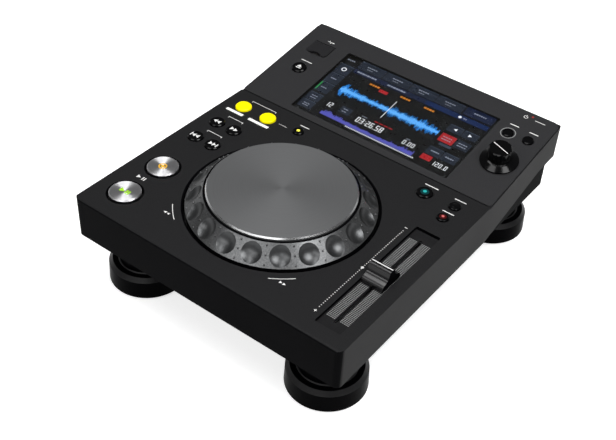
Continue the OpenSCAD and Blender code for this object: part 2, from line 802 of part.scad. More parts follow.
// The shaft carries a collar below the disc and a clip below the bearing
module jog_shaft() {
    clip_z = bearing_low - free_gap;
    color("#c9cbcd") on_deck([0, jog_y]) rotate_extrude() polygon([
        [0, clip_z - 2], [shaft_r - 0.4, clip_z - 2], [shaft_r, clip_z - 1.6],
        [shaft_r, clip_z - 0.9], [shaft_r + 2.2, clip_z - 0.9], [shaft_r + 2.2, clip_z],
        [shaft_r, clip_z], [shaft_r, disc_z - 2], [shaft_r + 2.5, disc_z - 2],
        [shaft_r + 2.5, disc_z], [shaft_r, disc_z], [shaft_r, boss_low - 1.6], [0, boss_low - 1.6]
    ]);
}

module jog_encoder_disc() {
    color("#3b3d40") on_deck([0, jog_y]) difference() {
        ring(disc_r, shaft_r, disc_z, disc_z + disc_t);
        for (i = [0 : encoder_slots - 1]) rotate([0, 0, i * 360 / encoder_slots])
            translate([disc_r - 4, 0, disc_z]) cube([4.4, 1.2, 4], center = true);
    }
}

module jog_bearing() {
    color("#b08d4c") on_deck([0, jog_y]) {
        rotate_extrude() polygon([
            [shaft_r + run_fit, bearing_low], [bearing_r, bearing_low],
            [bearing_r, well_floor], [bearing_r + 2.5, well_floor],
            [bearing_r + 2.5, well_floor + 1.6], [shaft_r + run_fit, well_floor + 1.6]
        ]);
    }
}

// Tray below the wheel, hung from the deck, with the tube that holds the bearing
module jog_base() {
    color("#202122") on_deck([0, jog_y]) difference() {
        union() {
            rotate_extrude($fn = 120) polygon([
                [bearing_r, bearing_low], [bearing_r + 3, bearing_low],
                [bearing_r + 5, well_floor - 2], [well_r + 2.4, well_floor - 2],
                [well_r + 2.4, -wall], [well_r, -wall], [well_r, well_floor],
                [bearing_r, well_floor]
            ]);
            for (i = [0 : 7]) rotate([0, 0, i * 45 + 22.5])
                translate([bearing_r + 2, -0.9, bearing_low + 1]) rotate([90, 0, 90])
                    linear_extrude(well_r - bearing_r - 3) square([1.8, 7.2]);
        }
        for (i = [0 : 3]) rotate([0, 0, i * 90 + 45]) translate([48, 0, well_floor - 12])
            cylinder(r = 9, h = 20);
    }
}

module jog_sensor() {
    gap = 0.9;
    color("#17181a") on_deck([0, jog_y]) rotate([0, 0, 90]) translate([disc_r, 0, 0]) {
        box(-5, 5, -5, 5, well_floor, disc_z - gap);
        box(1, 5, -5, 5, disc_z - gap - eps, disc_z + disc_t + gap + 2);
        box(-5, 5, -5, 5, disc_z + disc_t + gap, disc_z + disc_t + gap + 2);
    }
}

// Tempo fader

slot_w = 2.6;
slot_l = fader_travel + 4.6;
cap_low = -2;                         // the cap's skirt runs inside the recess
stem_w = 1.2;
stem_l = 4;

module fader_scale() {
    color("#1a1b1c") on_deck([fader_x, fader_y]) difference() {
        rounded_block(recess_w + 4.4, recess_l + 5, 1, -wall - fader_plate_t, -wall);
        rounded_block(slot_w, slot_l, 1.2, -wall - 3, 1);
    }
}

// Frame of the slide resistor: a steel channel closed by its board
module fader_frame() {
    top = -wall - fader_plate_t;
    color("#9b9ea1") on_deck([fader_x, fader_y]) difference() {
        rounded_block(14, recess_l - 2, 0.6, top - fader_frame_h, top);
        rounded_block(12, slot_l + 10, 0.5, top - fader_frame_h + board_t, top - 1);
        rounded_block(slot_w, slot_l, 1.2, top - 2, top + 1);
    }
}

module fader_stem() {
    top = -wall - fader_plate_t;
    color("#5f6163") on_deck([fader_x, fader_y]) {
        box(-stem_w / 2, stem_w / 2, -stem_l / 2, stem_l / 2, top - 3, cap_h - 4);
        box(-5.6, 5.6, -5, 5, top - fader_frame_h + board_t + free_gap, top - 1 - free_gap);
    }
}

// Cap: a ridge with an index line on top, and a slope with a shoulder on each side
module fader_cap() {
    half = cap_l / 2;
    color("#2b2c2e") on_deck([fader_x, fader_y]) difference() {
        translate([-8.7, 0, 0]) rotate([90, 0, 90]) linear_extrude(17.4) polygon([
            [-half, cap_low], [-half, 1.1], [-4.6, 4.4], [-2.6, 6.6], [-1.8, cap_h - 0.4],
            [-1.4, cap_h], [1.4, cap_h], [1.8, cap_h - 0.4], [2.6, 6.6], [4.6, 4.4],
            [half, 1.1], [half, cap_low]
        ]);
        box(-stem_w / 2, stem_w / 2, -stem_l / 2, stem_l / 2, cap_low - 1, cap_h - 4);
    }
}

// Boards and switches

board_rim = 8.7;                      // from the middle of a key to the edge of its board

module deck_board(x0, x1, y0, y1) {
    box(x0, x1, y0, y1, deck_z - board_depth - board_t, deck_z - board_depth);
}

module key_board_left() {
    color("#1f5a36") at_front() difference() {
        union() {
            deck_board(left + wall + 2, track_forward_at[0] + board_rim,
                       play_at[1] - big_r - 3, loop_in_at[1]);
            deck_board(left + wall + 2, reloop_at[0] + board_rim,
                       loop_in_at[1] - board_rim, step_y - 6);
        }
        board_holes();
    }
}

module board_holes() {
    for (p = deck_pegs) translate([p[0], p[1], deck_z - board_depth - 3]) cylinder(r = 1.2, h = 5);
}

module key_board_right() {
    color("#1f5a36") at_front() difference() {
        deck_board(jog_mode_at[0] - board_rim, right - wall - 2,
                   master_tempo_at[1] - board_rim, step_y - 6);
        board_holes();
    }
}

module panel_board_left() {
    color("#1f5a36") on_panel() difference() {
        box(panel_board_l[0], panel_board_l[1], stop_at[1] - 14, panel_board_end,
            -board_depth - board_t, -board_depth);
        for (p = panel_pegs) translate([p[0], p[1], -board_depth - 3]) cylinder(r = 1.2, h = 5);
    }
}

module panel_board_right() {
    color("#1f5a36") on_panel() difference() {
        box(panel_board_r[0], panel_board_r[1], selector_at[1] - 15.3, panel_board_end,
            -board_depth - board_t, -board_depth);
        for (p = panel_pegs) translate([p[0], p[1], -board_depth - 3]) cylinder(r = 1.2, h = 5);
    }
}

module key_switch() {
    translate([0, 0, -board_depth]) {
        translate([-3, -3, 0]) cube([6, 6, switch_h]);
        cylinder(r = 1.7, h = switch_h + plunger_h);
    }
}

module key_switches() {
    color("#b9bbbd") {
        for (p = deck_keys) on_deck(p) key_switch();
        for (p = panel_keys) on_panel() translate([p[0], p[1], 0]) key_switch();
        // switch behind the power button, on the main board
        at_front() box(power_x - 4, power_x + 4, socket_y - 16, socket_y - 7 - travel - free_gap,
                       socket_z, socket_z + 9);
    }
}

module main_board() {
    color("#1f5a36") at_front() difference() {
        box(-main_half_w, main_half_w, step_y + 12, socket_y - wall - 0.5,
            main_z, main_z + board_t);
        for (p = board_posts) translate([p[0], p[1], main_z - 1]) cylinder(r = 1.6, h = 4);
    }
    // processor with its heat spreader, memory and coils
    color("#2a2b2d") at_front() {
        box(-14, 14, step_y + 30, step_y + 58, socket_z - eps, socket_z + 3);
        box(-40, -26, step_y + 34, step_y + 46, socket_z - eps, socket_z + 1.4);
        box(34, 44, step_y + 50, step_y + 60, socket_z - eps, socket_z + 5);
    }
}

// Flat cables between the boards, each one folded strip
module flat_cables() {
    color("#d9d6cc") {
        // from the screen down to the main board
        end = panel_yz(62, -panel_t - lcd_t + 0.6);
        at_front() translate([screen_cable_x, end[0], socket_z])
            cube([screen_cable_w, cable_t, end[1] - socket_z]);
        // from each key board, back and down to the main board
        for (x = [-main_half_w + 2, main_half_w - 2 - cable_w]) at_front() key_cable(x);
    }
}

module key_cable(x) {
    z1 = deck_z - board_depth - board_t;
    down_y = step_y + 15;
    translate([x, 0, 0]) rotate([90, 0, 90]) linear_extrude(cable_w) polygon([
        [step_y - 14, z1], [step_y - 14, z1 - cable_t], [down_y, z1 - 1.4 - cable_t],
        [down_y, socket_z], [down_y + cable_t, socket_z], [down_y + cable_t, z1 - 1.4],
        [step_y - 13, z1]
    ]);
}

// Sockets at the rear

module usb_rear_socket() {
    color("#c3c6c8") at_front() difference() {
        box(usb_rear_x - 6, usb_rear_x + 6, socket_y - 16, socket_y + 0.3, socket_z, socket_z + 10.9);
        difference() {
            box(usb_rear_x - 4.3, usb_rear_x + 4.3, socket_y - 9, socket_y + 1,
                socket_z + 1.5, socket_z + 9.4);
            box(usb_rear_x - 2.8, usb_rear_x + 2.8, socket_y - 10, socket_y - 0.8,
                socket_z + 3.9, socket_z + 7.1);
        }
    }
}

module network_socket() {
    color("#c3c6c8") at_front() difference() {
        box(network_x - 8, network_x + 8, socket_y - 21, socket_y + 0.3, socket_z, socket_z + 13.3);
        box(network_x - 5.9, network_x + 5.9, socket_y - 13, socket_y + 1,
            socket_z + 1.6, socket_z + 8.6);
        box(network_x - 3, network_x + 3, socket_y - 13, socket_y + 1,
            socket_z + 8, socket_z + 10.6);
    }
}

module audio_sockets() {
    color("#c9cbcd") at_front() for (x = audio_x) {
        box(x - 6, x + 6, socket_y - 14, socket_y - wall - 0.2, socket_z, socket_z + 12.4);
        translate([x, socket_y, audio_z]) rotate([-90, 0, 0]) difference() {
            union() {
                hole(audio_boss_r, -wall - 0.4, audio_boss_out);
                hole(audio_r - 0.3, 0, audio_barrel_out);
                hole(audio_r, audio_boss_out + 0.3, audio_barrel_out);
            }
            hole(1.6, -1, audio_barrel_out + 1);
        }
    }
}

module power_inlet() {
    color("#202122") at_front() difference() {
        union() {
            box(inlet_x - 5, inlet_x + 5, socket_y - 14, socket_y - wall - 0.2, socket_z,
                socket_z + 11);
            translate([inlet_x, socket_y - wall - 0.4, inlet_z]) rotate([-90, 0, 0])
                cylinder(r = 4.8, h = wall + 0.6);
        }
        translate([inlet_x, socket_y - 10, inlet_z]) rotate([-90, 0, 0]) difference() {
            cylinder(r = inlet_bore_r, h = 14);
            translate([0, 0, -1]) cylinder(r = 1, h = 10);
        }
    }
}

// Rotary selector

module selector_encoder() {
    color("#9b9ea1") on_panel() translate([selector_at[0], selector_at[1], -board_depth])
        difference() {
            union() {
                translate([-encoder_w / 2, -encoder_w / 2, 0]) cube([encoder_w, encoder_w, 6.4]);
                cylinder(r = 3.9, h = 9);
            }
            translate([0, 0, 0.5]) cylinder(r = stem_r + run_fit, h = 12);
            translate([0, 0, 1.2]) cylinder(r = 5.3, h = 3.6);
        }
}

module selector_rotor() {
    color("#d8d2c0") on_panel() translate([selector_at[0], selector_at[1], -board_depth])
        ring(5, stem_r + run_fit, 1.5, 4.5);
}

module selector_shaft() {
    color("#c9cbcd") on_panel() translate([selector_at[0], selector_at[1], -board_depth])
        translate([0, 0, 1.3]) cylinder(r = stem_r, h = board_depth + knob_h - 4.8 - 1.3);
}

module selector_knob() {
    color("#1d1e20") on_panel() translate([selector_at[0], selector_at[1], 0]) difference() {
        union() {
            rotate_extrude() polygon([
                [0, knob_lift], [knob_skirt_r, knob_lift], [knob_skirt_r, knob_lift + 0.9],
                [knob_r + 1.4, knob_lift + 3], [knob_r, knob_lift + 3.4],
                [knob_r, knob_h - 0.8], [knob_r - 0.8, knob_h], [0, knob_h]
            ]);
        }
        for (i = [0 : 17]) rotate([0, 0, i * 20])
            translate([knob_r + 0.45, 0, knob_lift + 3.6]) cylinder(r = 0.9, h = knob_h, $fn = 24);
        translate([0, 0, -1]) cylinder(r = stem_r, h = 1 + knob_h - 4.8);
    }
}

// Feet and screws

module foot() {
    ring_low = 16.6;
    color("#1a1a1b") difference() {
        rotate_extrude($fn = 96) polygon([
            [0, 0.8], [foot_r - 1.2, 0.8], [foot_r, 2], [foot_r - 0.6, ring_low],
            [foot_r - 3.6, ring_low + 3.2], [neck_r + 0.8, ring_low + 3.2],
            [neck_r, ring_low + 4], [neck_r, foot_h], [0, foot_h]
        ]);
        // pocket of the rubber pad, and the way of the screw
        hole(pad_r + 0.2, 0, pad_t);
        hole(screw_way_r, 0, foot_h - foot_grip);
        hole(foot_screw_r + 0.3, 0, foot_h + 1);
    }
}

pad_r = 27;
pad_t = 2.4;
screw_way_r = 6.5;
foot_grip = 8;                        // the screw clamps this much of the foot
foot_screw_r = 1.8;

module foot_at(i) {
    translate([foot_spots()[i][0], front + foot_spots()[i][1], 0]) foot();
}

module foot_front_left() { foot_at(0); }
module foot_front_right() { foot_at(1); }
module foot_rear_left() { foot_at(2); }
module foot_rear_right() { foot_at(3); }

module foot_pads() {
    color("#3a3a3b") for (p = foot_spots())
        translate([p[0], front + p[1], 0]) hole(pad_r, 0, pad_t);
}

// Pan-head screw with a cross recess, head down
module screw(r, head_r, head_h, length) {
    difference() {
        union() {
            cylinder(r = head_r, h = head_h);
            cylinder(r = r, h = head_h + length);
        }
        for (a = [0, 90]) rotate([0, 0, a])
            translate([-head_r * 0.6, -0.4, -1]) cube([head_r * 1.2, 0.8, 1 + head_h * 0.6]);
    }
}

module foot_screws() {
    color("#c9cbcd") for (p = foot_spots())
        translate([p[0], front + p[1], foot_h - foot_grip - 2.2])
            screw(foot_screw_r, 4, 2.2, foot_grip + 7);
}

module case_screws() {
    color("#8d9094") at_front() {
        for (p = deck_posts) translate([p[0], p[1], foot_h])
            screw(screw_r, screw_head_r, 1.4, 11);
        for (p = board_posts) translate([p[0], p[1], socket_z + 1.4]) mirror([0, 0, 1])
            screw(screw_r - 0.2, screw_head_r, 1.4, 5);
        for (p = deck_pegs) translate([p[0], p[1], deck_z - board_depth - board_t - 1.2])
            screw(1, 2, 1.2, 7);
    }
    color("#8d9094") on_panel() for (p = panel_pegs)
        translate([p[0], p[1], -board_depth - board_t - 1.2]) screw(1, 2, 1.2, 7);
}

top_case();
bottom_case();
display_bezel();
screen_glass();
lcd_module();
lcd_carrier();
foot_front_left();
foot_front_right();
foot_rear_left();
foot_rear_right();
foot_pads();
foot_screws();
case_screws();
jog_base();
jog_bearing();
jog_shaft();
jog_ring();
jog_plate();
jog_encoder_disc();
jog_sensor();
fader_scale();
fader_frame();
fader_stem();
fader_cap();
key_board_left();
key_board_right();
panel_board_left();
panel_board_right();
main_board();
key_switches();
flat_cables();
usb_stick_socket();
usb_rear_socket();
network_socket();
audio_sockets();
power_inlet();
selector_encoder();
selector_rotor();
selector_shaft();
selector_knob();
usb_lid();
lid_pin();
standby_lens();
play_button();
cue_button();
loop_in_button();
loop_out_button();
reloop_button();
search_back_button();
search_forward_button();
track_back_button();
track_forward_button();
jog_mode_button();
tempo_range_button();
master_tempo_button();
usb_stop_button();
back_button();
menu_button();
power_button();
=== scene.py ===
import math

import bpy
import bmesh
from mathutils import Matrix, Vector


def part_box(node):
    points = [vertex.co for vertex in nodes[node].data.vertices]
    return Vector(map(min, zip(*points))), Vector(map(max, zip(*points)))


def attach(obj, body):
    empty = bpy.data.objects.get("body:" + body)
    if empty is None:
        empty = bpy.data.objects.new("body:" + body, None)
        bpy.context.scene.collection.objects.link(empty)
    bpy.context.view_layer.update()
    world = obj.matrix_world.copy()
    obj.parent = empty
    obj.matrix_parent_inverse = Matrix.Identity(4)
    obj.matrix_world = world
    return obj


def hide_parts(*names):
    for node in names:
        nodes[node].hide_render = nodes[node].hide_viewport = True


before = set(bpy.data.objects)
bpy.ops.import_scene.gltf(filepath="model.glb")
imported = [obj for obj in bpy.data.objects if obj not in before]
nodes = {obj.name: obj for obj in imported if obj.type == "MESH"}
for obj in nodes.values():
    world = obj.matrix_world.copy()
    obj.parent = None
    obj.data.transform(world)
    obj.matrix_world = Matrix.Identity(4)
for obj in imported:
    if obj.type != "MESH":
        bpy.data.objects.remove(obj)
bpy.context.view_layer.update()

# Sizes, in millimetres, as the solids have them

MM = 0.001
FRONT_Y = -150.8                 # front face of the deck
DECK_Z = 82.5                    # top of the deck
CREASE_Y = 188.3                 # depth of the deck, up to the crease below the panel
TILT = math.radians(8.9)         # tilt of the display panel

# Frames in which a piece is drawn in millimetres: the deck, with Y from the front face,
# and the tilted panel, with Y along its slope. Z stands out of each surface.
DECK = Matrix.Translation(Vector((0, FRONT_Y, DECK_Z)) * MM) @ Matrix.Scale(MM, 4)
PANEL = (Matrix.Translation(Vector((0, FRONT_Y + CREASE_Y, DECK_Z)) * MM)
         @ Matrix.Rotation(TILT, 4, "X") @ Matrix.Scale(MM, 4))


def spot(node, matrix=DECK):
    """The middle of a node on the deck or on the panel, in that frame's millimetres."""
    low, high = (Vector(c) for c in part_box(node))
    middle = matrix.inverted() @ ((low + high) / 2)
    return middle.x, middle.y


JOG, FADER = spot("jog_ring"), spot("fader_scale")
PLAY, CUE = spot("play_button"), spot("cue_button")
TRACK_BACK, TRACK_FORWARD = spot("track_back_button"), spot("track_forward_button")
SEARCH_BACK, SEARCH_FORWARD = spot("search_back_button"), spot("search_forward_button")
LOOP_IN, LOOP_OUT = spot("loop_in_button"), spot("loop_out_button")
RELOOP, JOG_MODE = spot("reloop_button"), spot("jog_mode_button")
TEMPO_RANGE, MASTER_TEMPO = spot("tempo_range_button"), spot("master_tempo_button")
STOP, BACK = spot("usb_stop_button", PANEL), spot("back_button", PANEL)
MENU, SELECTOR = spot("menu_button", PANEL), spot("selector_shaft", PANEL)
CAP_TOP = 1.6                    # height of the button caps over the deck or the panel
CONE_R, CONE_TOP = 57.8, 12.9    # inner radius and height of the jog ring's sloping land
CONE_SLOPE = 12.1 / 13.2         # its fall for each millimetre outwards
DIMPLES, FIRST_STUDS = 20, 10.5  # dimples in the ring, and the angle of the first row of studs
INK = 0.035                      # thickness at which a printed mark is drawn


# Colour and nodes

def linear(code):
    """The linear colour, with alpha 1, of an sRGB hex value."""
    channels = []
    for i in (0, 2, 4):
        c = int(code[i:i + 2], 16) / 255
        channels.append(c / 12.92 if c <= 0.04045 else ((c + 0.055) / 1.055) ** 2.4)
    return (*channels, 1.0)


def add(tree, kind, settings=(), values=(), links=()):
    """One node, with its settings, its inputs' values and the outputs linked into it."""
    n = tree.nodes.new(kind)
    for name, value in dict(settings).items():
        setattr(n, name, value)
    for name, value in dict(values).items():
        n.inputs[name].default_value = value
    for name, output in dict(links).items():
        tree.links.new(output, n.inputs[name])
    return n


def surface(name, colour, values=()):
    """A material with its surface shader; returns the material, its tree and the shader."""
    m = bpy.data.materials.new(name)
    m.use_nodes = True
    tree = m.node_tree
    tree.nodes.clear()
    shader = add(tree, "ShaderNodeBsdfPrincipled",
                 values={"Base Color": linear(colour), **dict(values)})
    add(tree, "ShaderNodeOutputMaterial", links={"Surface": shader.outputs["BSDF"]})
    m.diffuse_color = linear(colour)
    return m, tree, shader


CLOUDS = 18.0                    # clouds of gloss for each metre, so about 55 mm across
FOG = 420.0                      # specks in a lit cap for each metre, about 2.4 mm across
FOG_GLOSS = 0.24, 0.36           # roughness of a lit cap, from speck to speck
GROOVE_GLOSS = 0.06              # change of roughness from groove to groove


def moulded(name, colour, lighter, grain_mm, depth_mm, rough, spread, values=()):
    """Moulded plastic: a grained skin, cloudy gloss and a slight drift of tone."""
    m, tree, shader = surface(name, colour, values)
    at = add(tree, "ShaderNodeTexCoord").outputs["Object"]
    grain = add(tree, "ShaderNodeTexNoise", values={"Scale": 1000 / grain_mm, "Detail": 2.0},
                links={"Vector": at})
    cloud = add(tree, "ShaderNodeTexNoise", values={"Scale": CLOUDS, "Detail": 3.0},
                links={"Vector": at})
    gloss = add(tree, "ShaderNodeMapRange", values={"To Min": rough - spread, "To Max": rough + spread},
                links={"Value": cloud.outputs["Fac"]})
    bump = add(tree, "ShaderNodeBump", values={"Distance": depth_mm * MM, "Strength": 0.6},
               links={"Height": grain.outputs["Fac"]})
    tone = add(tree, "ShaderNodeMix", {"data_type": "RGBA"}, {6: linear(colour), 7: linear(lighter)},
               {"Factor": grain.outputs["Fac"]})
    tree.links.new(gloss.outputs["Result"], shader.inputs["Roughness"])
    tree.links.new(bump.outputs["Normal"], shader.inputs["Normal"])
    tree.links.new(tone.outputs[2], shader.inputs["Base Color"])
    return m


def turned(name, colour, darker, centre, groove_mm, depth_mm, rough, values=()):
    """Metal turned on a lathe: rings about a centre, which draw the light into a bow."""
    m, tree, shader = surface(name, colour, values)
    at = add(tree, "ShaderNodeTexCoord").outputs["Object"]
    offset = add(tree, "ShaderNodeVectorMath", {"operation": "SUBTRACT"}, {1: centre}, {0: at})
    flat = add(tree, "ShaderNodeVectorMath", {"operation": "MULTIPLY"}, {1: (1, 1, 0)},
               {0: offset.outputs[0]})
    radius = add(tree, "ShaderNodeVectorMath", {"operation": "LENGTH"}, links={0: flat.outputs[0]})
    groove = add(tree, "ShaderNodeMath", {"operation": "MULTIPLY"}, {1: 1000 / groove_mm},
                 {0: radius.outputs["Value"]})
    rings = add(tree, "ShaderNodeTexNoise", {"noise_dimensions": "1D"}, {"Scale": 1.0, "Detail": 2.0},
                {"W": groove.outputs[0]})
    bump = add(tree, "ShaderNodeBump", values={"Distance": depth_mm * MM, "Strength": 0.3},
               links={"Height": rings.outputs["Fac"]})
    gloss = add(tree, "ShaderNodeMapRange",
                values={"To Min": rough - GROOVE_GLOSS, "To Max": rough + GROOVE_GLOSS},
                links={"Value": rings.outputs["Fac"]})
    tone = add(tree, "ShaderNodeMix", {"data_type": "RGBA"}, {6: linear(darker), 7: linear(colour)},
               {"Factor": rings.outputs["Fac"]})
    # grooves that run round the centre spread the light outwards, along each radius
    outward = add(tree, "ShaderNodeVectorTransform",
                  {"vector_type": "VECTOR", "convert_from": "OBJECT", "convert_to": "WORLD"},
                  links={"Vector": flat.outputs[0]})
    unit = add(tree, "ShaderNodeVectorMath", {"operation": "NORMALIZE"}, links={0: outward.outputs[0]})
    tree.links.new(bump.outputs["Normal"], shader.inputs["Normal"])
    tree.links.new(gloss.outputs["Result"], shader.inputs["Roughness"])
    tree.links.new(tone.outputs[2], shader.inputs["Base Color"])
    tree.links.new(unit.outputs[0], shader.inputs["Tangent"])
    return m


def lit(name, colour, glow, strength, values=()):
    """A part that gives light: its own colour, and a glow that shines from it."""
    m, tree, shader = surface(name, colour, {"Emission Color": linear(glow),
                                             "Emission Strength": strength, **dict(values)})
    at = add(tree, "ShaderNodeTexCoord").outputs["Object"]
    fog = add(tree, "ShaderNodeTexNoise", values={"Scale": FOG, "Detail": 1.0}, links={"Vector": at})
    gloss = add(tree, "ShaderNodeMapRange", values={"To Min": FOG_GLOSS[0], "To Max": FOG_GLOSS[1]},
                links={"Value": fog.outputs["Fac"]})
    tree.links.new(gloss.outputs["Result"], shader.inputs["Roughness"])
    return m


# Plastics and rubber. A moulded skin has a grain of 0.1 to 0.3 mm, which is less than a pixel
# here, so each is drawn at 0.5 to 1.6 mm to show.

# Upper case: ABS from a spark-eroded tool, a fine matt skin that only shines at a low angle.
deck_abs = moulded("deck_black_abs_eroded", "1b1b1c", "282829", 0.7, 0.02, 0.42, 0.05,
                   {"Specular IOR Level": 0.06})
# Lower case: the same ABS, darker and a little duller.
floor_abs = moulded("lower_case_black_abs", "0a0a0b", "101011", 0.9, 0.02, 0.55, 0.05,
                    {"Specular IOR Level": 0.008})
# Front face and its corners: the deck's ABS with painted shade, darkened to almost black beside the grained
# deck, as the front gets little light.
front_shaded_abs = moulded("front_painted_shade_abs", "060607", "0a0a0c", 0.7, 0.01, 0.5, 0.05,
                    {"Specular IOR Level": 0.01})
# Panel in painted ABS: soft satin, a little lighter than the deck.
panel_paint = moulded("panel_satin_painted_abs", "2b2b2d", "363637", 0.5, 0.006, 0.36, 0.05,
                      {"Specular IOR Level": 0.04})
# Lid over the stick's socket: a separate moulding, a shade darker than the paint round it.
lid_abs = moulded("usb_lid_black_abs", "212122", "2b2b2d", 0.6, 0.01, 0.36, 0.05,
                  {"Specular IOR Level": 0.06})
# The two sides: a darker copy of the deck's ABS, painted shade that holds back the light falling on them from
# the side.
side_shaded_abs = moulded("side_painted_shade_abs", "0e0e0f", "171718", 0.7, 0.015, 0.45, 0.05,
                   {"Specular IOR Level": 0.04})
# Small buttons in polished ABS: a hard gloss with sharp reflections.
button_abs = moulded("button_polished_black_abs", "040405", "070708", 1.4, 0.002, 0.16, 0.04,
                     {"Specular IOR Level": 0.2})
# Selector knob, from a tool polished further: wet black, with the brightest glints.
knob_abs = moulded("selector_gloss_black_abs", "040405", "080809", 1.1, 0.004, 0.14, 0.04,
                   {"Specular IOR Level": 0.22})
# Fader cap: black ABS under a clear lacquer, so that its saddle carries one bright band.
cap_lacquer = moulded("fader_cap_black_lacquer", "0d0d0e", "131314", 0.6, 0.002, 0.2, 0.03,
                      {"Specular IOR Level": 0.55})
# Plate under the fader: a pressed black sheet, even and dull, behind the pale ladder.
scale_abs = moulded("fader_scale_black_sheet", "1a1a1b", "252526", 0.6, 0.01, 0.45, 0.05,
                    {"Specular IOR Level": 0.03})
# Sloping ring of a foot: the foot's ABS with a painted highlight, a satin band a little lighter than the rest
# where its slope faces up.
foot_ring = moulded("foot_ring_painted_highlight_abs", "131314", "1e1e1f", 1.2, 0.01, 0.4, 0.05,
                    {"Specular IOR Level": 0.2})
# Foot: deep black ABS with a coarse skin, which hardly shows its own shape.
foot_abs = moulded("foot_black_abs", "020203", "050506", 1.2, 0.03, 0.3, 0.06,
                   {"Specular IOR Level": 0.01})
# Pad below a foot, in nitrile rubber: dull, dusty black.
pad_rubber = moulded("foot_pad_nitrile_rubber", "17171a", "232325", 0.8, 0.05, 0.85, 0.05)
# Carriers inside the case: plain ABS, unpolished and grey where light falls in.
inner_abs = moulded("inner_black_abs", "101011", "191919", 1.0, 0.02, 0.6, 0.06)
# Key switches in natural nylon: a pale body against the green boards.
switch_body = moulded("switch_pale_nylon", "b9b7ac", "c8c6bc", 0.6, 0.01, 0.55, 0.05)
# Flat cables in polyester film: cream, with a soft shine along each fold.
cable_film = moulded("cable_pale_polyester", "d8d4c4", "e6e2d4", 1.2, 0.005, 0.35, 0.05)
# Boards in fibreglass under solder mask: deep green, mottled by a cloth of 0.6 mm drawn at 1.3 mm.
board_mask = moulded("board_green_solder_mask", "0d4526", "135a33", 1.3, 0.01, 0.38, 0.05)

# Jog ring: ABS with a dark satin lacquer, which mirrors soft light in its land and lip.
ring_lacquer = moulded("jog_ring_dark_lacquer", "363738", "838485", 0.9, 0.006, 0.34, 0.04,
                       {"Metallic": 0.93})
# Bowls of its dimples, the same lacquer over a smoother tool: dark edges round wide soft pools.
bowl_lacquer = moulded("jog_dimple_smooth_lacquer", "4c4d4e", "5a5b5c", 1.6, 0.001, 0.36, 0.03,
                       {"Metallic": 0.95})
# Painted shade: black without gloss on the skirt and inner lip of the ring and on the walls that go down from
# the deck, so that they read deep.
shadow_black = moulded("painted_shade_black", "050506", "08080a", 0.9, 0.006, 0.5, 0.05,
                       {"Specular IOR Level": 0.01})

# Turned aluminium. The real grooves are about 0.1 mm apart; they are drawn at 0.9 mm on the jog
# plate and at 0.35 mm on the buttons to show.

# Top plate of the jog wheel, anodised dark grey: the light spreads into a faint double cone.
jog_anodised = turned("jog_plate_turned_dark_anodised", "78797a", "6b6c6d",
                      (0, (FRONT_Y + JOG[1]) * MM, 0), 0.9, 0.004, 0.55,
                      {"Metallic": 0.7, "Anisotropic": 0.35})
# Edge of that plate, cut bright after anodising.
edge_cut = moulded("jog_plate_bright_cut_edge", "b0b1b2", "c8c9ca", 0.4, 0.001, 0.24, 0.04,
                   {"Metallic": 1.0})
# The two big buttons, spun and left bare: bright, with a white bow across each.
play_spun, cue_spun = (
    turned(name, "f4f4f5", "dcdcdf", (at[0] * MM, (FRONT_Y + at[1]) * MM, 0), 0.35, 0.004, 0.48,
           {"Metallic": 1.0, "Anisotropic": 0.9})
    for name, at in (("play_button_spun_aluminium", PLAY), ("cue_button_spun_aluminium", CUE)))

# Other metals, whose crystals and pores are drawn at 0.3 to 2.2 mm to show

# Screws in zinc-plated steel: pale and slightly blue, with a patchy shine.
zinc_steel = moulded("screw_zinc_plated_steel", "a9abad", "c3c5c7", 0.6, 0.004, 0.3, 0.08,
                     {"Metallic": 1.0})
# Carrier of the display and frame of the fader, in rolled sheet: grey, with wide soft clouds.
sheet_steel = moulded("carrier_rolled_steel", "9c9ea0", "b4b6b8", 2.2, 0.004, 0.36, 0.08,
                      {"Metallic": 1.0})
# Shafts in ground steel: the brightest and smoothest of the steels.
ground_steel = moulded("shaft_ground_steel", "b8babc", "cfd1d3", 0.5, 0.002, 0.2, 0.05,
                       {"Metallic": 1.0})
# Shells of the sockets in nickel-plated steel: warm and mirror-like.
plated_steel = moulded("socket_nickel_plated_steel", "c6c2b8", "d8d4cc", 0.8, 0.002, 0.18, 0.05,
                       {"Metallic": 1.0})
# Bush in sintered bronze: brown, with open pores that keep it dull.
bush_bronze = moulded("bearing_sintered_bronze", "8d6a3a", "a98350", 0.3, 0.01, 0.45, 0.08,
                      {"Metallic": 1.0})

# Films and inks

# Disc of the encoder in exposed polyester film: black and glassy.
disc_film = moulded("encoder_black_film", "0c0c0e", "151518", 0.8, 0.002, 0.22, 0.04)
# Screen printing ink: a matt white film, not quite even.
white_ink = moulded("print_white_ink", "d9d9d8", "f0f0ef", 0.5, 0.002, 0.6, 0.05)
# The same ink in grey, for marks that keep back beside the white ones.
grey_ink = moulded("print_grey_ink", "767777", "8e8f8f", 0.5, 0.002, 0.6, 0.05)
# The two filled labels: a thicker print, with a painted glow that makes their white stronger.
label_ink = moulded("print_label_white_ink_painted_glow", "e4e4e2", "f4f4f3", 0.6, 0.002, 0.6, 0.05,
                    {"Emission Color": linear("ffffff"), "Emission Strength": 0.12})

# Lit acrylic: each cap or lens is clouded inside and has its light behind it

# Loop buttons: a full, flat yellow that glows over the whole cap.
yellow_cap = lit("loop_button_lit_yellow_acrylic", "e8dc00", "ffee00", 0.3,
                 {"Specular IOR Level": 0.1})
# Light in the small loop button: paler and stronger, because it is a small opening.
yellow_light = lit("reloop_light_yellow_acrylic", "e6e23c", "e8e050", 0.9)
# Wide lens of the jog mode button: dark teal, as its light reaches only the middle.
teal_cap = lit("jog_mode_lit_teal_acrylic", "062628", "0c5c60", 0.2, {"Specular IOR Level": 0.1})
# Middle of that lens, right over its light.
teal_core = lit("jog_mode_teal_core", "188080", "38b8b4", 0.5, {"Specular IOR Level": 0.1})
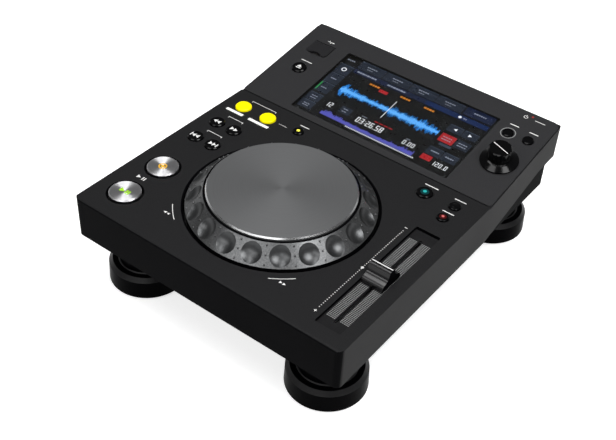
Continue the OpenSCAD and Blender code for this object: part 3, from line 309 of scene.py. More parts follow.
# Lens of the master tempo button: a deep wine red at its rim.
red_cap = lit("tempo_light_red_acrylic", "2c0a0a", "7c1c1c", 0.2, {"Specular IOR Level": 0.1})
# Its middle, where the red washes out.
red_core = lit("master_tempo_red_core", "a04040", "e08080", 0.5, {"Specular IOR Level": 0.1})
# Signs let into the two big buttons: green for play and amber for cue, softly lit.
green_light = lit("play_sign_lit_green", "8fc81e", "a4e024", 0.35)
amber_light = lit("cue_sign_lit_amber", "e0a92a", "f0b830", 0.35)
# Stand-by light: a dull red point, hardly lit.
lens_red = lit("standby_lens_red_acrylic", "5a1a14", "e03020", 0.3)

# Screen: each colour is a lit film behind the glass, dark in itself and bright by its glow

# Ground of the page: near black, with the faint warmth of a backlight that leaks through.
screen_dark = lit("screen_black_ground", "0a0a0a", "1c1a16", 0.35)
# Keys of the page and their upper edges: slate, with a rim that makes each look raised.
screen_steel = lit("screen_slate_key", "14171e", "2c323e", 0.5)
screen_edge = lit("screen_key_edge", "20262f", "4a5464", 0.5)
# Title bar: dim slate blue, and a clearer blue towards its end.
screen_slate = lit("screen_title_slate", "0c1020", "232c48", 0.45)
screen_blue = lit("screen_title_blue", "0a1430", "1e3464", 0.45)
# Wave: full blue, with a pale core that carries the eye along its middle.
screen_wave = lit("screen_wave_blue", "0a4a90", "2480cc", 0.7)
screen_pale = lit("screen_wave_pale_blue", "3c78b0", "68b0e8", 0.8)
# Overview of the whole track: violet, so that it keeps apart from the wave.
screen_violet = lit("screen_overview_violet", "2a2a6a", "5c5cb8", 0.7)
# Signs: white ones read first, grey ones sink back.
screen_white = lit("screen_white_sign", "808080", "e8e8e8", 1.0)
screen_grey = lit("screen_grey_sign", "404048", "8c929c", 0.9)
# Marks in signal colours: small, and the strongest spots on the page.
screen_orange = lit("screen_orange_sign", "6a3a08", "c8781c", 0.95)
screen_red = lit("screen_red_key", "4a0a0c", "b02024", 0.85)
screen_green = lit("screen_green_sign", "0c4a1c", "2c9c48", 0.8)

# Cover in polished float glass: clear, mirroring the room in a thin veil. Glass has an IOR of
# about 1.5; it is matched down to the weak veil of a coated sheet.
cover_glass = surface("screen_cover_float_glass", "f2f6fa",
                      {"Transmission Weight": 1.0, "Roughness": 0.03, "IOR": 1.16})[0]


# Drawing in mesh code

WELD = 1e-7                      # points nearer than this, in metres, become one
CREASE = math.radians(32)        # a sharper edge than this stays sharp


class Drawing:
    """Collects flat and turned forms, in millimetres of a frame, for one mesh."""

    def __init__(self):
        self.points, self.faces = [], []

    def grid(self, rows, closed=True):
        """Joins rows of points into quads; a closed row runs back to its start."""
        first = len(self.points)
        n = len(rows[0])
        for row in rows:
            self.points += [tuple(p) for p in row]
        for r in range(len(rows) - 1):
            for i in range(n if closed else n - 1):
                a = first + r * n + i
                b = first + r * n + (i + 1) % n
                self.faces.append((a, b, b + n, a + n))
        return first

    def slab(self, outline, low=0.0, high=INK):
        """A flat piece with this outline, anticlockwise, between two heights."""
        n = len(outline)
        first = self.grid([[(x, y, low) for x, y in outline], [(x, y, high) for x, y in outline]])
        self.faces.append(tuple(range(first + n, first + 2 * n)))
        self.faces.append(tuple(reversed(range(first, first + n))))

    def bar(self, x, y, w, h, low=0.0, high=INK, round_by=0.0):
        """A flat rectangle about a middle, its corners rounded if asked."""
        self.slab(rectangle(x, y, w, h, round_by), low, high)

    def loop(self, x, y, outer, inner, low=0.0, high=INK, n=48, start=0.0, sweep=360.0):
        """A flat ring, or an arc of one."""
        whole = sweep >= 360
        steps = n if whole else n + 1
        angles = [math.radians(start + sweep * i / n) for i in range(steps)]
        rows = []
        for r, z in ((inner, low), (outer, low), (outer, high), (inner, high), (inner, low)):
            rows.append([(x + r * math.cos(a), y + r * math.sin(a), z) for a in angles])
        first = self.grid(rows, closed=whole)
        if not whole:
            for i in (0, steps - 1):
                ends = [first + k * steps + i for k in range(4)]
                self.faces.append(tuple(ends if i == 0 else reversed(ends)))

    def turn(self, x, y, z, profile, n):
        """A turned form on an upright axis, closed at both ends; profile has (radius, height)."""
        first = self.grid([[(px, py, z + up) for px, py in disc(x, y, r, n)] for r, up in profile])
        last = first + (len(profile) - 1) * n
        self.faces.append(tuple(range(last, last + n)))
        self.faces.append(tuple(reversed(range(first, first + n))))

    def place(self, name, frame_matrix, material, body, smooth=False):
        """Makes the mesh, in metres of the whole object, and lets it ride on a body."""
        mesh = bpy.data.meshes.new(name)
        mesh.from_pydata([frame_matrix @ Vector(p) for p in self.points], [], self.faces)
        work = bmesh.new()
        work.from_mesh(mesh)
        bmesh.ops.remove_doubles(work, verts=work.verts, dist=WELD)
        bmesh.ops.recalc_face_normals(work, faces=work.faces)
        work.to_mesh(mesh)
        work.free()
        mesh.materials.append(material)
        if smooth:
            mesh.shade_smooth()
            mesh.set_sharp_from_angle(angle=CREASE)
        made = bpy.data.objects.new(name, mesh)
        bpy.context.scene.collection.objects.link(made)
        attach(made, body)
        return made


def rectangle(x, y, w, h, round_by=0.0, n=5):
    """Outline of a rectangle about a middle, anticlockwise."""
    if round_by <= 0:
        return [(x - w / 2, y - h / 2), (x + w / 2, y - h / 2),
                (x + w / 2, y + h / 2), (x - w / 2, y + h / 2)]
    out = []
    for cx, cy, start in ((1, -1, -90), (1, 1, 0), (-1, 1, 90), (-1, -1, 180)):
        for i in range(n + 1):
            a = math.radians(start + 90 * i / n)
            out.append((x + cx * (w / 2 - round_by) + round_by * math.cos(a),
                        y + cy * (h / 2 - round_by) + round_by * math.sin(a)))
    return out


def triangle(x, y, w, h, way=1):
    """A triangle that points right (way 1) or left (way -1), about a middle."""
    p = [(x - way * w / 2, y - h / 2), (x + way * w / 2, y), (x - way * w / 2, y + h / 2)]
    return p if way > 0 else p[::-1]


def disc(x, y, r, n):
    """Outline of a circle as n points, anticlockwise."""
    return [(x + r * math.cos(2 * math.pi * i / n), y + r * math.sin(2 * math.pi * i / n)) for i in range(n)]


def arc_line(cx, cy, r, a0, a1, width, n=24):
    """Outline of a thin arc of constant width."""
    turn = [math.radians(a0 + (a1 - a0) * i / n) for i in range(n + 1)]
    outer = [(cx + (r + width / 2) * math.cos(a), cy + (r + width / 2) * math.sin(a)) for a in turn]
    inner = [(cx + (r - width / 2) * math.cos(a), cy + (r - width / 2) * math.sin(a)) for a in turn]
    return outer + inner[::-1]


# The solids and their finishes

SOLID_CREASE = math.radians(30)  # a sharper edge of a solid than this stays sharp
SIDE_X = 118.0                   # faces of the upper case further out lie on its sides
FRONT_DEPTH = 6.0                # how far back its front corners reach
# The walls of these wells and of the fader's recess get black painted shade.
WELL_DEPTH = 3.5                 # how far down a well's wall can be seen
JOG_WELL = 70.0, 74.5            # radii between which the wall of the jog wheel's well lies
BUTTON_WELL = 12.0, 14.6         # the same for a big button
FADER_WELL = 10.6, 62.0          # half the width and half the length of the fader's recess
FOOT_SLOPE = -68.0, -61.0        # heights between which a foot has its sloping ring
BOWLS = 57.9, 70.9               # radii between which the ring's dimples lie
BOWL_SKIN = 0.12                 # a face this far below the cone is in a dimple
RING_TOP = 57.75, 71.5           # radii of the ring's land and lip
PLATE_EDGE = 54.0, 56.5          # radii of the bright chamfer on the jog plate
FEET = "foot_front_left foot_front_right foot_rear_left foot_rear_right"


def dress(names, material):
    """Gives solids their material and smooth turned faces."""
    for n in names.split():
        o = nodes[n]
        o.data.materials.clear()
        o.data.materials.append(material)
        o.data.shade_smooth()
        o.data.set_sharp_from_angle(angle=SOLID_CREASE)


def face_finish(node, material, chosen):
    """A second finish, for the faces that chosen picks by middle and normal, in deck millimetres."""
    mesh = nodes[node].data
    mesh.materials.append(material)
    slot_at = len(mesh.materials) - 1
    to_deck = DECK.inverted()
    for face in mesh.polygons:
        if chosen(to_deck @ face.center, face.normal):
            face.material_index = slot_at


def within(c, centre, radii):
    """Whether a point lies between two radii about a centre, seen from above."""
    return radii[0] < math.hypot(c.x - centre[0], c.y - centre[1]) < radii[1]


def in_well(c, n):
    """Whether a face belongs to the walls of the wells or of the fader's recess, which get painted shade."""
    beside_fader = abs(c.x - FADER[0]) < FADER_WELL[0] and abs(c.y - FADER[1]) < FADER_WELL[1]
    round_about = within(c, JOG, JOG_WELL) or within(c, PLAY, BUTTON_WELL) or within(c, CUE, BUTTON_WELL)
    return n.z < 0.95 and -WELL_DEPTH < c.z < 0.01 and (beside_fader or round_about)


def in_bowl(c, n):
    """Whether a face of the ring lies below its cone, so in a dimple."""
    r = math.hypot(c.x - JOG[0], c.y - JOG[1])
    return BOWLS[0] < r < BOWLS[1] and c.z < CONE_TOP - CONE_SLOPE * (r - CONE_R) - BOWL_SKIN and n.z > 0.05


dress("top_case", deck_abs)
# sides: a darker copy of the deck's ABS as painted shade
face_finish("top_case", side_shaded_abs, lambda c, n: abs(n.x) > 0.8 and abs(c.x) > SIDE_X)
# front and its corners: a darker copy of the deck's ABS as painted shade
face_finish("top_case", front_shaded_abs, lambda c, n: n.y < -0.35 and c.y < FRONT_DEPTH and n.z < 0.6)
# walls of the wells and of the fader's recess: black painted shade
face_finish("top_case", shadow_black, in_well)
dress("bottom_case", floor_abs)
dress("display_bezel", panel_paint)
dress("usb_lid", lid_abs)
dress("screen_glass", cover_glass)
dress("lcd_module", screen_dark)
dress("lcd_carrier fader_frame", sheet_steel)
dress(FEET, foot_abs)
# the upward slope of each foot: a lighter copy of its ABS as a painted highlight
for foot in FEET.split():
    face_finish(foot, foot_ring, lambda c, n: 0.25 < n.z < 0.9 and FOOT_SLOPE[0] < c.z < FOOT_SLOPE[1])
dress("foot_pads", pad_rubber)
dress("foot_screws case_screws", zinc_steel)
dress("jog_base jog_sensor fader_stem selector_encoder selector_rotor power_inlet", inner_abs)
dress("jog_bearing", bush_bronze)
dress("jog_shaft selector_shaft lid_pin", ground_steel)
dress("jog_ring", ring_lacquer)
face_finish("jog_ring", bowl_lacquer, in_bowl)
# skirt and inner lip of the ring: black painted shade
face_finish("jog_ring", shadow_black, lambda c, n: c.z < 0.9 or not within(c, JOG, RING_TOP))
dress("jog_plate", jog_anodised)
face_finish("jog_plate", edge_cut, lambda c, n: 0.2 < n.z < 0.95 and within(c, JOG, PLATE_EDGE))
dress("jog_encoder_disc", disc_film)
dress("fader_scale", scale_abs)
dress("key_board_left key_board_right panel_board_left panel_board_right main_board", board_mask)
dress("key_switches", switch_body)
dress("flat_cables", cable_film)
dress("usb_stick_socket usb_rear_socket network_socket audio_sockets", plated_steel)
dress("selector_knob", knob_abs)
dress("standby_lens", lens_red)
dress("play_button", play_spun)
dress("cue_button", cue_spun)
dress("loop_in_button loop_out_button", yellow_cap)
dress("reloop_button search_back_button search_forward_button track_back_button track_forward_button "
      "jog_mode_button tempo_range_button master_tempo_button usb_stop_button back_button menu_button "
      "power_button", button_abs)


# Marks on the deck

LINE = 0.5                       # width of a printed line
RUN_ARC_R, ARROW_R, ARROW = 79.6, 84.0, 2.4     # arcs beside the wheel, and their arrowheads
SCALE_X = FADER[0] - 15.3        # the dotted scale beside the fader
SCALE_LOW, SCALE_HIGH, SCALE_DOTS = FADER[1] - 49.2, FADER[1] + 50.6, 47
PLUS_Y, MINUS_Y = SCALE_LOW - 4.4, SCALE_HIGH + 4.0

marks = Drawing()
# arcs that show which way the wheel runs, each with its pair of arrowheads
for a0, a1 in ((-139.5, -127.0), (-58.0, -44.5)):
    marks.slab(arc_line(*JOG, RUN_ARC_R, a0, a1, LINE))
for way, angle in ((-1, -133.0), (1, -51.0)):
    a = math.radians(angle)
    x, y = JOG[0] + ARROW_R * math.cos(a), JOG[1] + ARROW_R * math.sin(a)
    for dx in (-1.5, 1.5):
        marks.slab(triangle(x + dx, y, ARROW, ARROW, way))
# signs for run and pause, between the two big buttons
run_y = (PLAY[1] + CUE[1]) / 2 + 0.3
marks.slab(triangle(PLAY[0] - 5.5, run_y, 3.4, 3.4))
for dx in (-1.8, 0.1):
    marks.bar(PLAY[0] + dx, run_y, 0.9, 3.4)


def bracket(x, y, w, ends, end_y, end_h):
    """A line over a pair of buttons, with two ends that turn down."""
    marks.bar(x, y, w, LINE)
    for dx in ends:
        marks.bar(x + dx, y + end_y, LINE, end_h)


for back, forward in ((TRACK_BACK, TRACK_FORWARD), (SEARCH_BACK, SEARCH_FORWARD)):
    bracket((back[0] + forward[0]) / 2, back[1] + 13.0, 15.0, (-7.1, 7.1), -0.9, 1.4)
bracket(LOOP_IN[0] + 12.8, LOOP_IN[1] + 11.6, 25.0, (-12.2, 12.3), -0.8, 1.6)
# short lines beside and over the small buttons
marks.bar(RELOOP[0] - 14.7, RELOOP[1] - 1.4, 8.0, 0.4)
for at, rise, w in ((RELOOP, 8.7, 9.0), (JOG_MODE, 10.2, 12.0), (TEMPO_RANGE, 8.8, 10.0),
                    (MASTER_TEMPO, 7.8, 10.0)):
    marks.bar(at[0], at[1] + rise, w, 0.9, round_by=0.4)
# the scale, with a larger dot at the fader's middle and a plus and a minus sign past its ends
for i in range(SCALE_DOTS):
    marks.bar(SCALE_X, SCALE_LOW + (SCALE_HIGH - SCALE_LOW) * i / (SCALE_DOTS - 1), 0.72, 0.62)
marks.slab(disc(SCALE_X, FADER[1], 1.1, 16), high=INK + 0.01)
marks.bar(SCALE_X, PLUS_Y, 2.4, LINE)
marks.bar(SCALE_X, PLUS_Y, LINE, 2.4, high=INK + 0.005)
marks.bar(SCALE_X, MINUS_Y, 2.4, LINE)
marks.place("deck_marks", DECK, white_ink, "chassis")

labels = Drawing()
labels.bar(LOOP_IN[0] - 1.4, LOOP_IN[1] - 9.7, 17.1, 3.0, round_by=0.5)
labels.bar(LOOP_OUT[0] - 2.1, LOOP_OUT[1] - 9.8, 20.3, 3.0, round_by=0.5)
labels.place("loop_labels", DECK, label_ink, "chassis")


# Fader: the ladder on its plate, its cap and the line on the cap

PLATE_TOP = -2.6                 # top of the plate under the fader
LADDER_L, RUNGS = 98.8, 69
LADDER_SIDE = 5.5                # from the slot to the middle of a row of rungs
RUNG_DASHES = -2.95, -1.48, 0, 1.48, 2.95
CAP_SIDE = 8.7                   # half the width of the cap
# half of the cap's outline, seen from the side: distance from its middle, and height
SADDLE = [(10.8, -2.0), (10.8, 0.2), (10.6, 1.2), (10.1, 2.1), (9.2, 2.9), (8.0, 3.45), (6.6, 4.0),
          (5.4, 4.75), (4.4, 5.9), (3.6, 7.4), (3.0, 9.0), (2.4, 10.3), (2.1, 10.7),
          (1.6, 10.95), (1.2, 11.0)]
RIDGE_TOP = SADDLE[-1][1]

ladder = Drawing()
for i in range(RUNGS):
    y = FADER[1] + LADDER_L * (i / (RUNGS - 1) - 0.5)
    for x in (FADER[0] - LADDER_SIDE, FADER[0] + LADDER_SIDE):
        for dx in RUNG_DASHES:
            ladder.bar(x + dx, y, 1.1, 0.7, PLATE_TOP, PLATE_TOP + INK)
ladder.place("fader_ladder", DECK, grey_ink, "chassis")

# The cap is redrawn with the smooth saddle of the real one between its ridge and its two ends.
cap = Drawing()
outline = [(-y, z) for y, z in SADDLE] + [(y, z) for y, z in reversed(SADDLE)]
first = cap.grid([[(FADER[0] + x, FADER[1] + y, z) for y, z in outline] for x in (-CAP_SIDE, CAP_SIDE)])
cap.faces.append(tuple(reversed(range(first, first + len(outline)))))
cap.faces.append(tuple(range(first + len(outline), first + 2 * len(outline))))
saddle_cap = cap.place("fader_cap_lacquered", DECK, cap_lacquer, "fader", smooth=True)
# the two ends of the cap get the black painted shade
saddle_cap.data.materials.append(shadow_black)
for face in saddle_cap.data.polygons:
    face.material_index = 1 if abs(face.normal.x) > 0.8 else 0
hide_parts("fader_cap")

index = Drawing()
index.bar(FADER[0], FADER[1] + 0.9, 17.2, 0.8, RIDGE_TOP, RIDGE_TOP + INK, round_by=0.3)
index.place("fader_index_line", DECK, white_ink, "fader")


# Jog wheel: three studs on each rib between two dimples

STUD_RADII = 59.3, 64.4, 69.5    # their distances from the jog axis
STUD = (0.7, -0.9), (0.7, 0.25), (0.5, 0.55), (0.2, 0.7)     # its profile over the land

studs = Drawing()
for i in range(DIMPLES):
    a = math.radians(FIRST_STUDS + i * 360 / DIMPLES)
    for r in STUD_RADII:
        land = CONE_TOP - CONE_SLOPE * (r - CONE_R)
        studs.turn(JOG[0] + r * math.cos(a), JOG[1] + r * math.sin(a), land, STUD, n=12)
studs.place("jog_studs", DECK, ring_lacquer, "jog", smooth=True)


# Signs and lenses on the buttons

LET_IN = CAP_TOP - 0.78, CAP_TOP - 0.28         # heights of a lit sign, let into its cap
PRINTED = CAP_TOP, CAP_TOP + INK                # heights of a printed one
LENS = (1.0, -0.2), (1.0, 0.05), (0.8, 0.22), (0.4, 0.32)    # shares of its radius, at heights


def sign_on(name, at, frame_matrix, heights, material, body, forms):
    """A flat sign on a cap; forms draws it about the cap's middle, between two heights."""
    d = Drawing()
    forms(d, *at, *heights)
    d.place(name, frame_matrix, material, body)


def run_pause(d, x, y, low, high):
    d.slab(triangle(x - 2.3, y, 4.2, 4.4), low, high)
    for dx in (1.5, 3.7):
        d.bar(x + dx, y, 1.3, 4.2, low, high)


def dot_and_ring(d, x, y, low, high):
    d.slab(disc(x, y, 1.3, 24), low, high)
    d.loop(x, y, 3.3, 2.4, low, high)


def seek(way, stop):
    """Two triangles, with a bar before them where the button jumps a whole track."""
    def forms(d, x, y, low, high):
        for dx in (-1.5, 1.9):
            d.slab(triangle(x + way * dx, y, 3.3, 4.2, way), low, high)
        if stop:
            d.bar(x + way * 4.2, y, 0.9, 4.2, low, high)
    return forms


def triangle_over_line(d, x, y, low, high):
    d.slab([(x - 2.4, y - 0.6), (x + 2.4, y - 0.6), (x, y + 2.4)], low, high)
    d.bar(x, y - 1.9, 4.8, 0.9, low, high)


def lens_on(name, at, r, material, body, lift=0.0):
    """A low lens set in a cap; lift raises it over another."""
    d = Drawing()
    d.turn(*at, CAP_TOP + lift, [(r * share, up) for share, up in LENS], n=32)
    d.place(name, DECK, material, body, smooth=True)


sign_on("play_sign", PLAY, DECK, LET_IN, green_light, "play", run_pause)
sign_on("cue_sign", CUE, DECK, LET_IN, amber_light, "cue", dot_and_ring)
sign_on("search_back_sign", SEARCH_BACK, DECK, PRINTED, white_ink, "search_back", seek(-1, False))
sign_on("search_forward_sign", SEARCH_FORWARD, DECK, PRINTED, white_ink, "search_forward", seek(1, False))
sign_on("track_back_sign", TRACK_BACK, DECK, PRINTED, white_ink, "track_back", seek(-1, True))
sign_on("track_forward_sign", TRACK_FORWARD, DECK, PRINTED, white_ink, "track_forward", seek(1, True))
sign_on("stop_sign", STOP, PANEL, PRINTED, white_ink, "usb_stop", triangle_over_line)

lens_on("reloop_lens", RELOOP, 1.4, yellow_light, "reloop")
lens_on("jog_mode_lens", JOG_MODE, 3.4, teal_cap, "jog_mode")
lens_on("jog_mode_light", JOG_MODE, 1.5, teal_core, "jog_mode", 0.3)
lens_on("tempo_range_lens", TEMPO_RANGE, 2.4, knob_abs, "tempo_range")
lens_on("master_tempo_lens", MASTER_TEMPO, 2.7, red_cap, "master_tempo")
lens_on("master_tempo_light", MASTER_TEMPO, 1.1, red_core, "master_tempo", 0.3)


# Marks on the panel

STICK_SIGN = -96.2, 92.7         # middle of the sign over the lid of the stick's socket
POWER_SIGN = 92.6, 103.4         # middle of the stand-by sign

panel_marks = Drawing()
for at, rise, w in ((BACK, 10.6, 8.0), (MENU, 9.2, 8.0), (STOP, 10.2, 11.0)):
    panel_marks.bar(at[0], at[1] + rise, w, 0.8, round_by=0.35)
# the stick's sign: a stem with three ends
x, y = STICK_SIGN
panel_marks.bar(x, y, 6.0, LINE)
panel_marks.slab(triangle(x + 3.4, y, 1.8, 1.8))
for dx, dy in ((-1.4, 1.0), (0.8, -1.0)):
    panel_marks.bar(x + dx, y + dy, LINE, 1.6)
# the stand-by sign, and a short line past its light
x, y = POWER_SIGN
panel_marks.loop(x, y, 1.8, 1.3, n=24, start=120, sweep=300)
panel_marks.bar(x, y + 1.4, LINE, 2.0)
panel_marks.bar(x + 13.0, y, 9.0, 0.6, round_by=0.25)
panel_marks.place("panel_marks", PANEL, white_ink, "chassis")

back_ring = Drawing()
back_ring.loop(*BACK, 6.3, 5.6)
back_ring.place("back_button_ring", PANEL, grey_ink, "chassis")


# Selector: the pointer line on its knob

KNOB_TOP = 14.4                  # height of the knob over the panel
POINTER_TURN = math.radians(-19)
POINTER_ENDS, POINTER_HALF = (-7.6, 8.2), 0.32  # its reach to both sides of the axis, and half its width

pointer = Drawing()
along = Vector((math.cos(POINTER_TURN), math.sin(POINTER_TURN)))
beside = Vector((-along.y, along.x)) * POINTER_HALF
tail, tip = (Vector(SELECTOR) + along * reach for reach in POINTER_ENDS)
pointer.slab([tuple(p) for p in (tail - beside, tip - beside, tip + beside, tail + beside)],
             KNOB_TOP, KNOB_TOP + INK)
pointer.place("selector_pointer", PANEL, white_ink, "selector_push")


# Screen: a generic page behind the glass, in panel millimetres

GROUND, ITEM, SIGN = -2.96, -2.90, -2.84        # heights of the films, below the panel's face
FILM_BACK = -2.995               # back of the lowest film
EDGE_T = 0.02                    # how far the light edge of a key stands over it
PAGE = 1.4, 49.1, 150.8, 81.2    # middle, width and height of the whole page
TOP_ROW = [(-46.0 + 26.2 * i, 84.6, 25.4, 10.2) for i in range(4)]      # keys: middle, width, height
LEFT_COLUMN = ([(-66.4, y, 13.6, 13.2) for y in (71.4, 57.4, 43.4)]
               + [(-66.4, y, 13.6, 9.8) for y in (29.4, 18.6)])
RIGHT_BLOCK = [(x, y, w, h) for x in (52.6, 66.6) for y, w, h in ((60.8, 13.4, 8.6), (29.8, 13.2, 9.4))]
PLAIN_KEYS = [(67.2, 47.8, 12.6, 9.8), (-34.0, 29.4, 10.6, 8.6)]
TITLE_Y, TITLE_H = 75.8, 5.4     # the title bar below the top row
WAVE_X, WAVE_W, WAVE_Y, WAVE_H, WAVE_BARS = -54.0, 97.5, 50.0, 17.0, 170
OVERVIEW_X, OVERVIEW_W, OVERVIEW_Y, OVERVIEW_BARS = -50.0, 90.0, 15.4, 120
TICKS = 44                       # ticks in the row below the overview


def film(name, material, draw):
    """One colour of the page; draw adds its forms."""
    d = Drawing()
    draw(d)
    d.place(name, PANEL, material, "chassis")


def ground_film(d):
    d.bar(*PAGE, FILM_BACK, GROUND)


def key_films(d):
    for key in TOP_ROW + LEFT_COLUMN:
        d.bar(*key, GROUND, ITEM, round_by=0.6)
    for key in RIGHT_BLOCK + PLAIN_KEYS:
        d.bar(*key, GROUND, ITEM, round_by=0.5)


def edge_film(d):
    """The lighter upper edge of each key, and a strip between the blocks."""
    for keys, t in ((TOP_ROW, 0.7), (RIGHT_BLOCK + LEFT_COLUMN, 0.6)):
        for x, y, w, h in keys:
            d.bar(x, y + h / 2 - 0.4, w - 0.8, t, ITEM, ITEM + EDGE_T)
    d.bar(55.6, 40.2, 10.8, 2.6, ITEM, ITEM + EDGE_T, round_by=0.4)


def title_left(d):
    d.bar(-22.0, TITLE_Y, 73.0, TITLE_H, GROUND, ITEM)
    d.bar(60.4, 85.6, 27.0, 9.6, GROUND, ITEM, round_by=0.6)


def title_right(d):
    d.bar(44.2, TITLE_Y, 59.4, TITLE_H, GROUND, ITEM)


def wave_heights(n, seed):
    """Heights, from 0 to 1, of a made-up sound: seeded noise under a beat and a slow swell."""
    out = []
    state = seed
    for i in range(n):
        state = (state * 1103515245 + 12345) % 2 ** 31
        noise = state / 2 ** 31
        beat = 0.45 + 0.55 * abs(math.sin(i * 0.19))
        swell = 0.72 + 0.28 * math.cos(i * 0.05)
        out.append(max(0.14, min(1.0, (0.28 + 0.72 * noise ** 1.8) * beat * swell + 0.14)))
    return out


def wave_film(share, low, high, seed):
    """The wave, or its brighter core as a share of its height."""
    def draw(d):
        for i, h in enumerate(wave_heights(WAVE_BARS, seed)):
            d.bar(WAVE_X + WAVE_W * i / WAVE_BARS, WAVE_Y, 0.5, WAVE_H * h * share, low, high)
    return draw


def overview_film(d):
    for i, h in enumerate(wave_heights(OVERVIEW_BARS, 5)):
        tall = 1.6 + 5.0 * h
        d.bar(OVERVIEW_X + OVERVIEW_W * i / OVERVIEW_BARS, OVERVIEW_Y + tall / 2, 0.77, tall, GROUND, ITEM)


STROKE_STEP = 0.002              # each stroke lies this much over the one before it
# the strokes of each numeral: a to f run round from the top, clockwise, and g is the middle one
STROKES = {"0": "abcdef", "1": "bc", "2": "abged", "3": "abgcd", "4": "fgbc", "5": "afgcd", "6": "afgedc",
           "7": "abc", "8": "abcdefg", "9": "abcdfg"}


def digit(d, ch, x, y, w, h, t):
    """A numeral from straight strokes of width t, its lower left corner at x, y."""
    middle, left, right = x + w / 2, x + t / 2, x + w - t / 2
    boxes = {"a": (middle, y + h - t / 2, w, t), "g": (middle, y + h / 2, w, t),
             "d": (middle, y + t / 2, w, t), "f": (left, y + h * 0.75, t, h / 2),
             "b": (right, y + h * 0.75, t, h / 2), "e": (left, y + h * 0.25, t, h / 2),
             "c": (right, y + h * 0.25, t, h / 2)}
    for k, stroke in enumerate(STROKES[ch]):
        d.bar(*boxes[stroke], ITEM, SIGN + STROKE_STEP * k)


def numerals(d, text, x, y, w, h, t):
    """A row of numerals, with colons and points between them."""
    for ch in text:
        if ch == ":":
            for dy in (0.3, 0.7):
                d.bar(x + t, y + h * dy, t, t, ITEM, SIGN)
            x += t * 3.2
        elif ch == ".":
            d.bar(x + t / 2, y + t / 2, t, t, ITEM, SIGN)
            x += t * 2.6
        else:
            digit(d, ch, x, y, w, h, t)
            x += w + max(1.15, t * 1.7)


def white_film(d):
    """The numerals, the play line across the wave, the ticks and a few plain signs."""
    numerals(d, "03:26.58", -20.6, 23.6, 2.7, 6.0, 0.6)
    numerals(d, "12", -53.0, 26.0, 2.5, 5.2, 0.55)
    numerals(d, "0.00", 25.4, 23.4, 2.4, 4.6, 0.5)
    numerals(d, "120.0", 57.4, 16.4, 2.2, 4.6, 0.5)
    d.bar(-5.4, 50.6, 0.5, 23.6, ITEM, SIGN)
    for i in range(TICKS):
        d.bar(-23.0 + 65.0 * i / (TICKS - 1), 14.4, 0.8, 1.1, GROUND, SIGN)
    for (x, y, *_), way in zip(RIGHT_BLOCK[::2], (-1, 1)):
        d.slab(triangle(x, y, 3.0, 3.0, way), ITEM, SIGN)
    d.loop(-66.4, 71.8, 2.4, 1.5, ITEM, SIGN, n=24)
    d.slab(disc(47.6, TITLE_Y, 1.4, 16), ITEM, SIGN)


def dashes(d, x, y, widths, h, gap=0.5, low=ITEM):
    """A row of dashes from x to the right."""
    for w in widths:
        d.bar(x + w / 2, y, w, h, low, SIGN)
        x += w + gap


def grey_film(d):
    """Rows of short dashes on the keys and in the title bar."""
    for x, y, *_ in TOP_ROW:
        dashes(d, x - 5.0, y + 0.8, (1.6, 1.2, 2.0, 1.4, 1.6), 1.1)
        dashes(d, x - 3.6, y - 2.0, (1.2, 1.8, 1.4), 0.7)
    dashes(d, 55.0, 86.0, (1.4, 2.0, 1.2, 1.6, 1.4, 1.0), 1.3)
    dashes(d, -71.6, 85.0, (1.6, 1.0, 1.8, 1.2), 1.2)
    dashes(d, -55.0, TITLE_Y, (2.4, 1.6, 3.0, 1.2, 2.2, 1.0, 2.8, 1.8), 1.6)
    dashes(d, -24.0, TITLE_Y, (3.0, 1.6, 2.6, 2.0, 1.2, 3.0, 1.4), 1.6)
    dashes(d, 50.8, TITLE_Y, (1.4, 1.0), 1.4)
    for y in (57.0, 43.0):
        dashes(d, -69.4, y, (1.4, 1.8, 1.2), 1.2)
    for y in (30.2, 27.6, 19.0, 16.8):
        dashes(d, -69.2, y, (1.8, 1.2, 1.6), 0.9)
    for y in (30.8, 27.8):
        dashes(d, -36.6, y, (1.6, 2.0), 0.9)
    for x in (49.4, 62.8):
        dashes(d, x, 29.8, (1.4, 1.8, 1.6, 1.0), 1.2)
    for y in (49.0, 46.2):
        dashes(d, 63.0, y, (1.8, 1.2, 2.0, 1.4), 0.9)
        dashes(d, 48.6, y, (1.8, 2.2, 1.4, 1.4), 0.9)
    dashes(d, 26.0, 30.0, (1.4, 1.8), 0.8)
    dashes(d, -19.0, 32.0, (1.2, 1.8, 1.0), 0.8)


def orange_film(d):
    """Rows of longer dashes over the wave."""
    for x, y, widths in ((-37.0, 68.6, (2.4, 1.6, 1.8, 2.2)), (-6.4, 69.6, (1.8, 2.4, 1.4, 2.0)),
                         (17.0, 69.4, (2.2, 1.4, 2.4, 1.8))):
        dashes(d, x, y, widths, 1.9, gap=0.6, low=GROUND)


def red_film(d):
    """Two red keys, a red strip over the wave and four short lines over the numerals."""
    d.bar(-21.6, 66.2, 8.4, 3.6, GROUND, ITEM, round_by=0.3)
    d.bar(53.0, 47.8, 13.2, 9.8, GROUND, ITEM, round_by=0.5)
    d.bar(50.6, 21.0, 9.4, 5.8, GROUND, ITEM, round_by=0.4)
    for x in (-5.0, -0.4, 4.2, 8.8):
        d.bar(x, 32.4, 3.4, 1.0, GROUND, SIGN)


def green_film(d):
    d.bar(-72.0, 43.6, 1.1, 11.0, ITEM, SIGN, round_by=0.3)


film("screen_ground", screen_dark, ground_film)
film("screen_keys", screen_steel, key_films)
film("screen_key_edges", screen_edge, edge_film)
film("screen_title", screen_slate, title_left)
film("screen_title_end", screen_blue, title_right)
film("screen_wave", screen_wave, wave_film(1.0, GROUND, ITEM, 77))
film("screen_wave_core", screen_pale, wave_film(0.5, ITEM, SIGN - 0.02, 1234))
film("screen_overview", screen_violet, overview_film)
film("screen_numerals", screen_white, white_film)
film("screen_lines", screen_grey, grey_film)
film("screen_orange_marks", screen_orange, orange_film)
film("screen_red_keys", screen_red, red_film)
film("screen_green_mark", screen_green, green_film)


# Floor, light and camera, in metres

